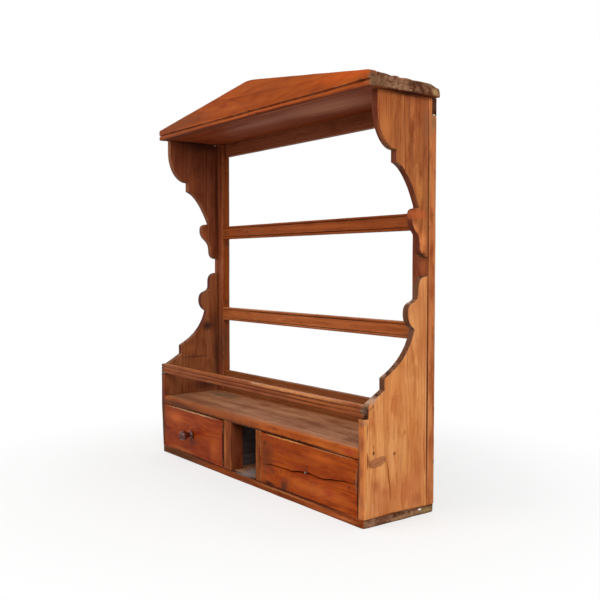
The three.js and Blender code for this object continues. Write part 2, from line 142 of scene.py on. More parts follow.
def cloud(tree, place, scale, detail, seed, roughness=0.55, output="Fac"):
    inputs = {"Vector": place, "W": seed, "Scale": scale, "Detail": detail, "Roughness": roughness}
    return addNode(tree, "TexNoise", inputs, noise_dimensions="4D").outputs[output]


def swirl(tree, place, scale, seed, roughness):
    # a soft push to any side, -0.5 to 0.5
    colour = cloud(tree, place, scale, 3, seed, roughness, "Color")
    return vectorMaths(tree, "SUBTRACT", colour, (0.5, 0.5, 0.5))


def tone(red, green, blue):
    # from screen values, 0 to 255, to a shader's linear ones
    shares = [part / 255 for part in (red, green, blue)]
    return tuple(s / 12.92 if s <= 0.04045 else ((s + 0.055) / 1.055) ** 2.4 for s in shares) + (1.0,)


def seenDirectly(tree):
    # 1 for what the camera sees, straight or in a gloss, 0 for the light thrown on the rack
    rays = addNode(tree, "LightPath").outputs
    seen = maths(tree, "MAXIMUM", rays["Is Camera Ray"], rays["Is Transmission Ray"])
    return maths(tree, "MAXIMUM", seen, rays["Is Glossy Ray"])


studio = {"seen": 1.0, "light": 0.70}
world = bpy.data.worlds.new("studio")
world.use_nodes = True
scene.world = world
sky = world.node_tree
level = ease(sky, seenDirectly(sky), 0.0, 1.0, studio["light"], studio["seen"])
sky.links.new(level, sky.nodes["Background"].inputs["Strength"])
sky.nodes["Background"].inputs["Color"].default_value = (1, 1, 1, 1)

# the floor is paler where the camera sees it, and its shadow fades out
floor = {
    "size": 14,
    "rough": 0.9,
    "white": 0.8,
    "bounce": 0.5,
    "shadow": 0.4,
    "fade": (0.45, 1.1),
}
bm = bmesh.new()
bmesh.ops.create_grid(bm, x_segments=1, y_segments=1, size=floor["size"] / 2)
floorMesh = bpy.data.meshes.new("floor")
bm.to_mesh(floorMesh)
bm.free()
ground = bpy.data.objects.new("floor", floorMesh)
scene.collection.objects.link(ground)
paint = bpy.data.materials.new("floor")
paint.use_nodes = True
tree = paint.node_tree
matt = tree.nodes["Principled BSDF"]
matt.inputs["Roughness"].default_value = floor["rough"]
glow = addNode(tree, "Emission", {"Strength": 1.0})
seen = seenDirectly(tree)
tree.links.new(ease(tree, seen, 0.0, 1.0, floor["bounce"], floor["white"]), matt.inputs["Base Color"])
far = vectorMaths(tree, "LENGTH", addNode(tree, "TexCoord").outputs["Object"], output="Value")
share = times(tree, seen, ease(tree, far, *floor["fade"], 1 - floor["shadow"], 1.0))
floorMix = addNode(tree, "MixShader", {0: share, 1: matt.outputs[0], 2: glow.outputs[0]})
tree.links.new(floorMix.outputs[0], tree.nodes["Material Output"].inputs["Surface"])
floorMesh.materials.append(paint)
print("stage set")

# old pine: year rings round a pith line, bent by a drift and of uneven width
rings = {
    "drift": (1.7, 9.0, 9.0),
    "driftRoughness": 0.5,
    "unevenEvery": 0.37,
    "uneven": 1.6,
    "shade": ((0.0, 0.05), (0.45, 0.12), (0.82, 0.95), (0.93, 1.0), (1.0, 0.05)),
}
# scale of each pattern along the wood and across it, its detail and its roughness
patterns = {
    "Fibre": (9.0, 380.0, 3, 0.55),
    "Streak": (1.8, 62.0, 4, 0.6),
    "Band": (1.6, 24.0, 2, 0.5),
    "Broad": (7.0, 13.0, 5, 0.6),
    "Mottle": (15.0, 52.0, 4, 0.62),
}


def newGroup(name, inputs, outputs):
    group = bpy.data.node_groups.new(name, "ShaderNodeTree")
    for title, kind in inputs.items():
        group.interface.new_socket(name=title, in_out="INPUT", socket_type="NodeSocket" + kind)
    for title in outputs:
        group.interface.new_socket(name=title, in_out="OUTPUT", socket_type="NodeSocketFloat")
    return group, group.nodes.new("NodeGroupInput").outputs, group.nodes.new("NodeGroupOutput").inputs


def ringShade(group, turn):
    made = addNode(group, "ValToRGB", {"Fac": turn})
    ramp = made.color_ramp
    ramp.interpolation = "EASE"
    for index, (place, value) in enumerate(rings["shade"]):
        stop = ramp.elements[index] if index < 2 else ramp.elements.new(place)
        stop.position = place
        stop.color = (value, value, value, 1)
    return made.outputs["Color"]


def pineGrainGroup():
    inputs = {"Vector": "Vector", "Ring": "Float", "Wander": "Float", "Seed": "Float", "Pull": "Float"}
    group, given, result = newGroup("pineGrain", inputs, ("Late", "Tone", *patterns))
    seed = given["Seed"]
    slow = vectorMaths(group, "MULTIPLY", given["Vector"], rings["drift"])
    push = swirl(group, slow, 1.0, seed, rings["driftRoughness"])
    push = addNode(group, "VectorMath", {0: push, "Scale": given["Wander"]}, operation="SCALE").outputs[0]
    bent = vectorMaths(group, "ADD", given["Vector"], push)
    across = vectorMaths(group, "MULTIPLY", bent, (0.0, 1.0, 1.0))
    radius = maths(group, "ADD", vectorMaths(group, "LENGTH", across, output="Value"), given["Pull"])
    count = maths(group, "DIVIDE", radius, given["Ring"])
    inputs = {"W": times(group, count, rings["unevenEvery"]), "Scale": 1.0, "Detail": 1.0}
    uneven = addNode(group, "TexNoise", inputs, noise_dimensions="1D").outputs["Fac"]
    count = maths(group, "MULTIPLY_ADD", uneven, rings["uneven"], count)
    step = addNode(group, "TexWhiteNoise", {"W": maths(group, "FLOOR", count)}, noise_dimensions="1D")
    made = {
        "Late": ringShade(group, maths(group, "FRACT", count)),
        "Tone": step.outputs["Value"],
    }
    for name, (along, aside, detail, roughness) in patterns.items():
        source = given["Vector"] if name == "Broad" else bent
        place = vectorMaths(group, "MULTIPLY", source, (along, aside, aside))
        made[name] = cloud(group, place, 1.0, detail, seed, roughness)
    for name, socket in made.items():
        group.links.new(socket, result[name])
    return group


def spotGroup():
    # a round or boxy spot: 1 in its middle, 0 from its half size outwards
    inputs = {"Vector": "Vector", "Centre": "Vector", "Size": "Vector", "Hard": "Float", "Boxy": "Float"}
    group, given, result = newGroup("spot", inputs, ("Mask",))
    away = vectorMaths(group, "SUBTRACT", given["Vector"], given["Centre"])
    away = vectorMaths(group, "ABSOLUTE", vectorMaths(group, "DIVIDE", away, given["Size"]))
    parts = addNode(group, "SeparateXYZ", {0: away}).outputs
    square = maths(group, "MAXIMUM", maths(group, "MAXIMUM", parts[0], parts[1]), parts[2])
    rounded = vectorMaths(group, "LENGTH", away, output="Value")
    reach = addNode(group, "Mix", {0: given["Boxy"], 2: rounded, 3: square}).outputs[0]
    group.links.new(ease(group, reach, 1.0, given["Hard"]), result["Mask"])
    return group


pineGrain = pineGrainGroup()
spot = spotGroup()

# middle tone of each finish
finishes = {
    "honey": (234, 166, 104),
    "amber": (172, 104, 58),
    "umber": (203, 127, 75),
    "inner": (128, 70, 44),
    "innerLow": (146, 89, 55),
    "stile": (131, 71, 44),
    "rail": (142, 72, 30),
    "railLow": (166, 94, 48),
    "panel": (134, 79, 43),
    "gallery": (141, 78, 42),
    "drawer": (168, 78, 18),
    "drawerLeft": (154, 66, 14),
    "foot": (140, 66, 22),
    "edge": (178, 92, 34),
    "post": (139, 76, 34),
    "shelf": (184, 132, 96),
    "gable": (158, 76, 22),
    "sawn": (94, 64, 49),
    "redSawn": (90, 42, 32),
    "endGrain": (154, 120, 96),
    "bare": (178, 132, 88),
    "dusty": (136, 98, 72),
    "shade": (150, 76, 42),
    "dusk": (94, 90, 92),
    "knob": (94, 36, 18),
}
# pale and deep wood and the ring lines, as shares of the middle tone
tints = {"pale": (1.12, 1.16, 1.22), "deep": (0.80, 0.71, 0.62), "line": (0.62, 0.50, 0.40)}
# how much each pattern counts towards deep wood, and the sums where that starts and ends
deepWood = {"ring": 0.30, "streak": 0.8, "band": 0.7, "fade": (0.62, 1.18)}

# what a board has unless its own values say otherwise: ring and wander are the width and the
# bend of its year rings, contrast and figure the strength of ring lines and streaks, blend is
# how far a face turns before it takes its side's finish, gloss is the lowest roughness
usualLook = {
    "ring": 0.0032, "wander": 0.03, "contrast": 0.55, "figure": 0.9, "knots": (), "marks": (),
    "sides": {}, "blend": (0.5, 0.85), "sawn": "sawn", "sawnShare": 0.85,
    "end": "endGrain", "endGrit": 75, "endDirt": (104, 84, 74), "flecks": 0.0,
    "uneven": 0.35, "blotch": (226, 184, 160), "mottle": 0.4, "stain": (186, 140, 112),
    "wear": 0.35, "worn": (176, 128, 88), "shine": 0.045, "gloss": 0.42, "relief": 0.5,
}
# where each effect starts and where it is complete
fades = {
    "scroll": (0.75, 0.45),
    "end": (0.62, 0.9),
    "dirt": (0.40, 0.62),
    "flecks": (0.56, 0.70),
    "broad": (0.35, 0.72),
    "mottle": (0.46, 0.68),
    "fibre": (0.35, 0.7),
    "chips": (0.42, 0.62),
    "gloss": (0.3, 0.75),
}
endWood = {
    "sawnContrast": 0.3, "contrast": 0.8, "share": 0.9,
    "dirtRoughness": 0.7, "fleckGrit": 130, "fleck": (186, 160, 128),
}
varnish = {
    "fibre": (196, 160, 140), "fibreShare": 0.28, "chipGrit": 45, "glossRange": 0.16, "dull": 0.8,
}
raggedEdge = {"grit": 70, "roughness": 0.6, "push": (0.006, 0.006, 0.006)}
relief = {"strength": 0.55, "depth": 0.0005, "fibre": 0.5}
# a knot's size times this, how hard its edge is, and its share of the colour
knotParts = {"pull": (3.2, 0.0), "halo": (1.9, 0.35, 0.55), "core": (1.0, 0.5, 0.85)}
directions = {
    "left": (-1, 0, 0), "right": (1, 0, 0), "front": (0, -1, 0),
    "back": (0, 1, 0), "under": (0, 0, -1), "upper": (0, 0, 1),
}


def turnedPlace(tree, place, grain, pith):
    # turns a place so that the grain runs along x, and puts the pith at 0
    x, y, z = pith
    turns = {
        "x": ((0, 0, 0), (-x, -y, -z)),
        "y": ((0, 0, -pi / 2), (-y, x, -z)),
        "z": ((0, pi / 2, 0), (-z, -y, x)),
    }
    turn, shift = turns[grain]
    return addNode(tree, "Mapping", {"Vector": place, "Rotation": turn, "Location": shift}).outputs[0]


def woodTone(tree, grain, finish, contrast, figure=1.0):
    middle = tone(*finishes[finish])
    pale, deep, line = (
        tuple(m * t for m, t in zip(middle, tint)) + (1.0,) for tint in tints.values()
    )
    share = times(tree, grain["Streak"], deepWood["streak"])
    share = maths(tree, "MULTIPLY_ADD", grain["Tone"], deepWood["ring"], share)
    share = maths(tree, "MULTIPLY_ADD", grain["Band"], deepWood["band"], share)
    share = ease(tree, share, *deepWood["fade"], (1 - figure) * 0.5, (1 + figure) * 0.5)
    return cover(tree, mixTone(tree, share, pale, deep), line, grain["Late"], contrast)


def spotMask(tree, place, mark):
    if "tilt" in mark:
        inputs = {"Vector": place, "Center": mark["at"], "Angle": radians(mark["tilt"])}
        axis = mark.get("round", "X") + "_AXIS"
        place = addNode(tree, "VectorRotate", inputs, rotation_type=axis).outputs[0]
    inputs = {
        "Vector": place,
        "Centre": mark["at"],
        "Size": mark["size"],
        "Hard": mark["hard"],
        "Boxy": 1.0 if mark.get("boxy") else 0.0,
    }
    return addNode(tree, "Group", inputs, node_tree=spot).outputs[0]


def knotMask(tree, place, knot, part):
    factor, hard = knotParts[part][:2]
    spotted = {"at": knot["at"], "size": [factor * size for size in knot["size"]], "hard": hard}
    return spotMask(tree, place, spotted)


def pineGrainOf(tree, look, place, ragged):
    pull = 0.0
    for knot in look["knots"]:
        pull = maths(tree, "MULTIPLY_ADD", knotMask(tree, ragged, knot, "pull"), knot["pull"], pull)
    inputs = {
        "Vector": turnedPlace(tree, place, look["grain"], look["pith"]),
        "Ring": look["ring"],
        "Wander": look["wander"],
        "Seed": look["seed"],
        "Pull": pull,
    }
    return addNode(tree, "Group", inputs, node_tree=pineGrain).outputs


def boardTone(tree, look, grain, facing):
    contrast, figure = look["contrast"], look["figure"]
    colour = woodTone(tree, grain, look["finish"], contrast, figure)
    for side, finish in look["sides"].items():
        turned = vectorMaths(tree, "DOT_PRODUCT", facing, directions[side], output="Value")
        other = woodTone(tree, grain, finish, contrast, figure)
        colour = mixTone(tree, ease(tree, turned, *look["blend"]), colour, other)
    return colour


def sawnScrolls(tree, look, grain, place, colour, parts):
    # all that turns away from the two faces of the board
    scroll = ease(tree, maths(tree, "ABSOLUTE", parts["xyz".index(look["face"])]), *fades["scroll"])
    if "sawnFrom" in look:
        level = addNode(tree, "SeparateXYZ", {0: place}).outputs[2]
        scroll = times(tree, scroll, ease(tree, level, *look["sawnFrom"]))
    sawn = woodTone(tree, grain, look["sawn"], endWood["sawnContrast"])
    return cover(tree, colour, sawn, scroll, look["sawnShare"])


def endTone(tree, look, grain, place):
    made = woodTone(tree, grain, look["end"], endWood["contrast"])
    dirt = cloud(tree, place, look["endGrit"], 5, look["seed"], endWood["dirtRoughness"])
    dirt = ease(tree, dirt, *fades["dirt"])
    made = mixTone(tree, dirt, made, tone(*look["endDirt"]), "MULTIPLY")
    flecks = ease(tree, cloud(tree, place, endWood["fleckGrit"], 4, look["seed"] + 5), *fades["flecks"])
    return cover(tree, made, tone(*endWood["fleck"]), flecks, look["flecks"])


def unevenVarnish(tree, look, grain, place, colour):
    layers = {
        "Broad": (look["blotch"], look["uneven"]),
        "Mottle": (look["stain"], look["mottle"]),
        "Fibre": (varnish["fibre"], varnish["fibreShare"]),
    }
    for pattern, (layer, share) in layers.items():
        mask = ease(tree, grain[pattern], *fades[pattern.lower()])
        colour = cover(tree, colour, tone(*layer), mask, share, "MULTIPLY")
    arris = addNode(tree, "Attribute", attribute_name="arris").outputs["Fac"]
    chips = cloud(tree, place, varnish["chipGrit"], 3, look["seed"])
    chips = ease(tree, chips, *fades["chips"], 0.0, look["wear"])
    return cover(tree, colour, tone(*look["worn"]), arris, chips)


def knotsAndMarks(tree, look, place, ragged, colour):
    for knot in look["knots"]:
        for part, layer in (("halo", knot["halo"]), ("core", knot["tone"])):
            mask = knotMask(tree, ragged, knot, part)
            colour = cover(tree, colour, tone(*layer), mask, knotParts[part][2])
    dull = 0.0
    for mark in look["marks"]:
        mask = spotMask(tree, ragged if mark.get("ragged", True) else place, mark)
        mask = times(tree, mask, mark["share"])
        colour = mixTone(tree, mask, colour, tone(*mark["tone"]))
        dull = maths(tree, "MAXIMUM", mask, dull)
    return colour, dull


def pine(name, look):
    look = dict(usualLook, **look)
    material = bpy.data.materials.new(name)
    material.use_nodes = True
    tree = material.node_tree
    where = addNode(tree, "TexCoord").outputs
    place, facing = where["Object"], where["Normal"]
    push = swirl(tree, place, raggedEdge["grit"], look["seed"], raggedEdge["roughness"])
    ragged = vectorMaths(tree, "MULTIPLY_ADD", push, raggedEdge["push"], place)
    grain = pineGrainOf(tree, look, place, ragged)

    colour = boardTone(tree, look, grain, facing)
    parts = addNode(tree, "SeparateXYZ", {0: facing}).outputs
    if "face" in look:
        colour = sawnScrolls(tree, look, grain, place, colour, parts)
    end = ease(tree, maths(tree, "ABSOLUTE", parts["xyz".index(look["grain"])]), *fades["end"])
    colour = cover(tree, colour, endTone(tree, look, grain, place), end, endWood["share"])
    colour = unevenVarnish(tree, look, grain, place, colour)
    colour, dull = knotsAndMarks(tree, look, place, ragged, colour)

    shader = tree.nodes["Principled BSDF"]
    shader.inputs["Specular IOR Level"].default_value = look["shine"]
    tree.links.new(colour, shader.inputs["Base Color"])
    gloss = look["gloss"]
    rough = ease(tree, grain["Streak"], *fades["gloss"], gloss, gloss + varnish["glossRange"])
    dull = times(tree, maths(tree, "MAXIMUM", end, dull), varnish["dull"])
    tree.links.new(maths(tree, "MAXIMUM", rough, dull), shader.inputs["Roughness"])
    height = times(tree, grain["Late"], look["relief"])
    height = maths(tree, "MULTIPLY_ADD", grain["Fibre"], relief["fibre"], height)
    inputs = {"Strength": relief["strength"], "Distance": relief["depth"], "Height": height}
    bump = addNode(tree, "Bump", inputs)
    tree.links.new(bump.outputs[0], shader.inputs["Normal"])
    return material


# settings of a mark: boxed has a square outline, crisp a clean one, exact both
boxed = {"boxy": True}
crisp = {"ragged": False}
exact = {"boxy": True, "ragged": False}


def touch(place, size, colour, share, hard=0.0, settings=()):
    at, halfSize = ([part / 1000 for part in parts] for parts in (place, size))
    return dict(settings, at=at, size=halfSize, tone=colour, share=share, hard=hard)


def touches(*rows):
    # marks laid over each other: a row is place and half size in mm, tone, share,
    # how hard the edge is (0 is soft) and other settings
    return [touch(*row) for row in rows]


# merge and flat join a node's loose triangles, onEdge is how near a vertex lies to its edge,
# and edges over the sharp angles are rounded or shaded sharp
boardSettings = {
    "merge": 1e-5, "flat": 0.6, "onEdge": 0.0004, "sharp": 35, "shadeSharp": 38,
    "wideSegments": 4, "seedStep": 7.3,
}


def boardMesh(node):
    bm = bmesh.new()
    bm.from_mesh(frame["nodes"][node].data)
    bmesh.ops.remove_doubles(bm, verts=bm.verts, dist=boardSettings["merge"])
    flat = radians(boardSettings["flat"])
    bmesh.ops.dissolve_limit(bm, angle_limit=flat, verts=bm.verts, edges=bm.edges)
    bm.faces.layers.float.new("arris")
    return bm


def bevelEdges(bm, edges, width, segments):
    return bmesh.ops.bevel(
        bm, geom=edges, offset=width, offset_type="OFFSET", affect="EDGES",
        segments=segments, profile=0.5, material=-1, clamp_overlap=True,
    )


def widenEdge(bm, line, width):
    # line gives the two coordinates that a long edge keeps
    near = boardSettings["onEdge"]
    onLine = [
        vert for vert in bm.verts
        if all(abs(vert.co["xyz".index(axis)] - value) < near for axis, value in line.items())
    ]
    edges = [edge for edge in bm.edges if edge.verts[0] in onLine and edge.verts[1] in onLine]
    bevelEdges(bm, edges, width, boardSettings["wideSegments"])


def softenEdges(bm, width, segments=2):
    arris = bm.faces.layers.float["arris"]
    least = radians(boardSettings["sharp"])
    sharp = [
        edge for edge in bm.edges
        if len(edge.link_faces) == 2 and edge.calc_face_angle(0) > least
    ]
    for face in bevelEdges(bm, sharp, width, segments)["faces"]:
        face[arris] = 1.0


def cutAcross(bm, axis, places):
    for place in places:
        spotOn = Vector((0, 0, 0))
        spotOn["xyz".index(axis)] = place
        along = Vector((0, 0, 0))
        along["xyz".index(axis)] = 1
        geometry = bm.verts[:] + bm.edges[:] + bm.faces[:]
        bmesh.ops.bisect_plane(bm, geom=geometry, dist=1e-6, plane_co=spotOn, plane_no=along)


def evenly(low, high, step):
    count = max(1, round((high - low) / step))
    return [low + (high - low) * index / count for index in range(1, count)]


def closeAtEnds(low, high, step, close, count):
    # even cuts along the board, with close ones at both ends
    inside = close * (count + 1)
    cuts = evenly(low + inside, high - inside, step)
    for edge, towards in ((low, close), (high, -close)):
        cuts += [edge + towards * k for k in range(1, count + 1)]
    return cuts


def roundCorners(vert, box, leftRadius, rightRadius):
    # pulls a vertex in to the round of the two front corners, seen from above
    low, high = box
    for edge, towards, radius in ((low.x, 1, leftRadius), (high.x, -1, rightRadius)):
        reach = (vert.co.x - edge) * towards
        depth = vert.co.y - low.y
        away = Vector((radius - reach, radius - depth))
        if reach < radius and depth < radius and away.length > radius:
            away *= radius / away.length
            vert.co.x = edge + towards * (radius - away.x)
            vert.co.y = low.y + radius - away.y


def wander(bm, amount, size, seed, node):
    # slight waves, kept inside the solid's own box
    low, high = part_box(node)
    start = Vector((seed * boardSettings["seedStep"], seed, 0))
    for vert in bm.verts:
        shift = noise.noise_vector(vert.co / size + start) * amount
        for k in range(3):
            vert.co[k] = min(max(vert.co[k] + shift[k], low[k]), high[k])


def showPiece(bm, name, node, material):
    mesh = bpy.data.meshes.new(name)
    bm.to_mesh(mesh)
    bm.free()
    mesh.materials.append(material)
    mesh.shade_smooth()
    mesh.set_sharp_from_angle(angle=radians(boardSettings["shadeSharp"]))
    piece = bpy.data.objects.new(name, mesh)
    scene.collection.objects.link(piece)
    even = piece.modifiers.new("flats", "WEIGHTED_NORMAL")
    even.keep_sharp = True
    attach(piece, frame["nodes"][node]["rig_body"])
    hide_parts(node)
    return piece


# edge is how far a board's edges are rounded and wide names the ones rounded more, waves are
# the depth and the length of its waves, cuts the steps along each axis that let it follow them
usualBoard = {"edge": 0.0012, "waves": (0.0004, 0.06), "wide": ()}


def plainBoard(name, node, board):
    board = dict(usualBoard, **board)
    bm = boardMesh(node)
    for line, width in board["wide"]:
        widenEdge(bm, line, width)
    softenEdges(bm, board["edge"])
    low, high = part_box(node)
    for axis, step in board["cuts"].items():
        k = "xyz".index(axis)
        cutAcross(bm, axis, evenly(low[k], high[k], step))
    wander(bm, *board["waves"], board["seed"], node)
    return showPiece(bm, name, node, pine(name, board))


def carve(piece, cutter, crackShade):
    # cuts a crack out of a finished piece; its walls take the piece's second material, a dark wood that
    # paints the shade inside the crack
    mesh = bpy.data.meshes.new("cutter")
    cutter.to_mesh(mesh)
    cutter.free()
    mesh.materials.append(None)
    tool = bpy.data.objects.new("cutter", mesh)
    scene.collection.objects.link(tool)
    cut = piece.modifiers.new("crack", "BOOLEAN")
    cut.operation = "DIFFERENCE"
    cut.solver = "EXACT"
    cut.object = tool
    piece.modifiers.move(len(piece.modifiers) - 1, 0)
    flats = piece.modifiers["flats"]
    flats.show_viewport = False
    bpy.context.view_layer.update()
    graph = bpy.context.evaluated_depsgraph_get()
    result = bpy.data.meshes.new_from_object(piece.evaluated_get(graph), depsgraph=graph)
    piece.modifiers.remove(cut)
    flats.show_viewport = True
    old = piece.data
    result.name = old.name
    piece.data = result
    bpy.data.objects.remove(tool)
    result.materials.clear()
    result.materials.append(old.materials[0])
    result.materials.append(crackShade)


blade = {"proud": 0.002, "tip": 0.35}


def crackBlade(path, outward, width, depth):
    # a wedge along a path on the surface, standing proud of it and narrow at both ends
    proud, tip = blade["proud"], blade["tip"]
    bm = bmesh.new()
    outward = Vector(outward)
    loops = []
    last = len(path) - 1
    for index, point in enumerate(path):
        point = Vector(point)
        ahead = Vector(path[min(index + 1, last)]) - Vector(path[max(index - 1, 0)])
        sideways = ahead.cross(outward).normalized()
        share = sin(pi * (index + tip) / (last + 2 * tip)) ** 0.5
        half = sideways * width / 2 * share
        half = half * (1 + proud / depth)
        top = point + outward * proud
        corners = (top - half, top + half, point - outward * depth * share)
        loops.append([bm.verts.new(corner) for corner in corners])
    for first, second in zip(loops, loops[1:]):
        edges = []
        for loop in (first, second):
            for k in range(3):
                pair = (loop[k], loop[(k + 1) % 3])
                edges.append(bm.edges.get(pair) or bm.edges.new(pair))
        bmesh.ops.bridge_loops(bm, edges=edges)
    bm.faces.new(loops[0])
    bm.faces.new(loops[-1])
    bmesh.ops.recalc_face_normals(bm, faces=bm.faces)
    for face in bm.faces:
        face.material_index = 1
    return bm


grime = {"scale": 160, "seed": 3.1, "fade": (0.35, 0.7), "dark": 0.55, "rough": 0.2}
pits = {"scale": 420, "seed": 8.4, "strength": 0.5, "depth": 0.0004}


def plainTone(name, look):
    material = bpy.data.materials.new(name)
    material.use_nodes = True
    tree = material.node_tree
    place = addNode(tree, "TexCoord").outputs["Object"]
    mask = ease(tree, cloud(tree, place, grime["scale"], 4, grime["seed"]), *grime["fade"])
    colour, gloss = tone(*look["tone"]), look["gloss"]
    dark = tuple(part * grime["dark"] for part in colour[:3]) + (1.0,)
    shader = tree.nodes["Principled BSDF"]
    tree.links.new(mixTone(tree, mask, colour, dark), shader.inputs["Base Color"])
    rough = ease(tree, mask, 0.0, 1.0, gloss, min(1.0, gloss + grime["rough"]))
    tree.links.new(rough, shader.inputs["Roughness"])
    height = cloud(tree, place, pits["scale"], 3, pits["seed"])
    inputs = {"Strength": pits["strength"], "Distance": pits["depth"], "Height": height}
    bump = addNode(tree, "Bump", inputs)
    tree.links.new(bump.outputs[0], shader.inputs["Normal"])
    return material


# dark wood for the walls of the cracks: painted shade inside them
crackShadeWood = plainTone("crackShadeWood", {"tone": (58, 30, 20), "gloss": 0.85})

# top board: rough right end, a gouge in it and a broken back corner
topBoard = {
    "edge": 0.0022,
    "cuts": {"x": 0.03, "y": 0.011, "z": 0.007},
    "waves": (0.0007, 0.045),
    "endFrom": 0.452,
    "endCuts": (0.005, 7),
    "endDepth": 0.0035,
    "raggedGrit": (55, 90, 3.7),
    "brokenFrom": 0.050,
    "brokenDepth": 0.009,
    "brokenDrop": 0.006,
    "brokenBelow": 0.35,
    "tornLeast": 0.7,
    "tornGrit": (80, 120, 9.1),
    "lumps": 0.0035,
    "lumpsOver": -0.2,
    "lumpGrit": 48,
    "lumpSeed": (4.4, 2.1),
    "fullDrop": 0.03,
    "gouge": {"at": -0.020, "half": 0.006, "depth": 0.005},
    "finish": "gable", "grain": "x", "pith": (0.1, 0.02, 0.93), "seed": 2.3, "ring": 0.0042,
    "wander": 0.05, "contrast": 0.6, "sides": {"under": "shade", "back": "dusty", "upper": "dusty"},
    "endGrit": 38, "endDirt": (116, 92, 80), "flecks": 0.3, "uneven": 0.4, "shine": 0.02, "gloss": 0.5,
    "marks": touches(
        ((490, -24, 977), (20, 3, 10), (52, 34, 26), 0.8, 0.3, {"tilt": 25}),
        ((490, -28, 969), (20, 10, 3), (168, 132, 92), 0.6, 0.3),
        ((490, 12, 966), (20, 6, 3), (176, 146, 110), 0.6, 0.3),
        ((490, 30, 984), (20, 40, 6), (58, 44, 36), 0.5),
        ((488, 92, 972), (30, 18, 14), (188, 150, 104), 0.7, 0.1),
        ((490, -60, 990), (20, 35, 5), (70, 48, 38), 0.6),
        # painted shade: dark line along the lower arris of the right end
        ((482, 10, 962.5), (16, 110, 2.2), (58, 30, 22), 0.85, 0.2, boxed),
        # under the top board, the broad pale patches toward the front (y -35 and -25) are painted light,
        # and the dark strips toward the back (y 30 and 48, and at x -300) are painted shade
        ((40, -35, 962), (420, 45, 10), (164, 108, 86), 0.7, 0.0, {"tilt": 3, "round": "Z"}),
        ((200, 30, 962), (260, 12, 10), (84, 42, 34), 0.5),
        ((-140, -55, 962), (100, 8, 10), (80, 36, 28), 0.5),
        ((-300, 30, 962), (50, 10, 10), (56, 26, 22), 0.6),
        ((490, 20, 978), (20, 90, 2.2), (92, 60, 46), 0.6),
        ((488, 70, 986), (12, 25, 4), (120, 100, 78), 0.6, 0.3),
        ((486, -70, 975), (20, 20, 20), (134, 102, 74), 0.35, 0.3),
        ((260, -25, 962), (240, 85, 10), (184, 120, 90), 0.75, 0.1),
        ((0, -87, 962.5), (800, 4, 4), (128, 68, 46), 0.8, 0.4, exact),
        ((280, -62, 962), (200, 3, 10), (122, 74, 54), 0.5),
        ((140, -44, 962), (240, 3.5, 10), (126, 78, 58), 0.5),
        ((320, -24, 962), (150, 3, 10), (116, 70, 50), 0.55),
        ((220, -10, 962), (180, 4, 10), (210, 146, 108), 0.4),
        ((260, 8, 962), (240, 4, 10), (112, 66, 48), 0.55),
        ((340, 24, 962), (140, 3.5, 10), (108, 62, 46), 0.55),
        ((100, 48, 962), (340, 10, 10), (100, 58, 44), 0.6),
        ((490, -45, 981), (20, 10, 5), (150, 118, 88), 0.5),
        ((490, 50, 972), (20, 12, 5), (72, 50, 38), 0.6),
    ),
}


def gritAt(y, z, grit):
    # grit holds a scale over the end, a scale upwards and a seed
    return noise.noise(Vector((y * grit[0], z * grit[1], grit[2])))


def roughEnd(bm, low, high):
    gouge = topBoard["gouge"]
    for vert in bm.verts:
        x, y, z = vert.co
        if x > topBoard["endFrom"]:
            share = (x - topBoard["endFrom"]) / (high.x - topBoard["endFrom"])
            ragged = gritAt(y, z, topBoard["raggedGrit"]) * 0.5 + 0.5
            vert.co.x -= topBoard["endDepth"] * ragged * share
            corner = high.y - topBoard["brokenFrom"]
            broken = min(max((y - corner) / topBoard["brokenFrom"], 0), 1) ** 2
            least, below = topBoard["tornLeast"], topBoard["brokenBelow"]
            torn = least + (1 - least) * gritAt(y, z, topBoard["tornGrit"])
            upper = below + (1 - below) * (z - low.z) / (high.z - low.z)
            vert.co.x -= topBoard["brokenDepth"] * broken * torn * share * upper
            vert.co.z -= topBoard["brokenDrop"] * broken * share * (z - low.z) / topBoard["fullDrop"]
            lump = noise.noise(Vector((y * topBoard["lumpGrit"], *topBoard["lumpSeed"])))
            lump = max(0, lump - topBoard["lumpsOver"])
            vert.co.z -= topBoard["lumps"] * lump * share * (z - low.z) / topBoard["fullDrop"]
            if abs(y - gouge["at"]) < gouge["half"] * 0.5:
                vert.co.x -= gouge["depth"] * share


bm = boardMesh("top_board")
softenEdges(bm, topBoard["edge"], segments=3)
low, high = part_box("top_board")
step, count = topBoard["endCuts"]
endCuts = [topBoard["endFrom"] + step * k for k in range(count)]
cutAcross(bm, "x", evenly(low.x, topBoard["endFrom"], topBoard["cuts"]["x"]) + endCuts)
gouge = topBoard["gouge"]
gougeCuts = [gouge["at"] - gouge["half"], gouge["at"], gouge["at"] + gouge["half"]]
cutAcross(bm, "y", evenly(low.y, high.y, topBoard["cuts"]["y"]) + gougeCuts)
cutAcross(bm, "z", [low.z + topBoard["cuts"]["z"] * k for k in (1, 2, 3)])
roughEnd(bm, low, high)
wander(bm, *topBoard["waves"], topBoard["seed"], "top_board")
showPiece(bm, "topBoard", "top_board", pine("topPine", topBoard))

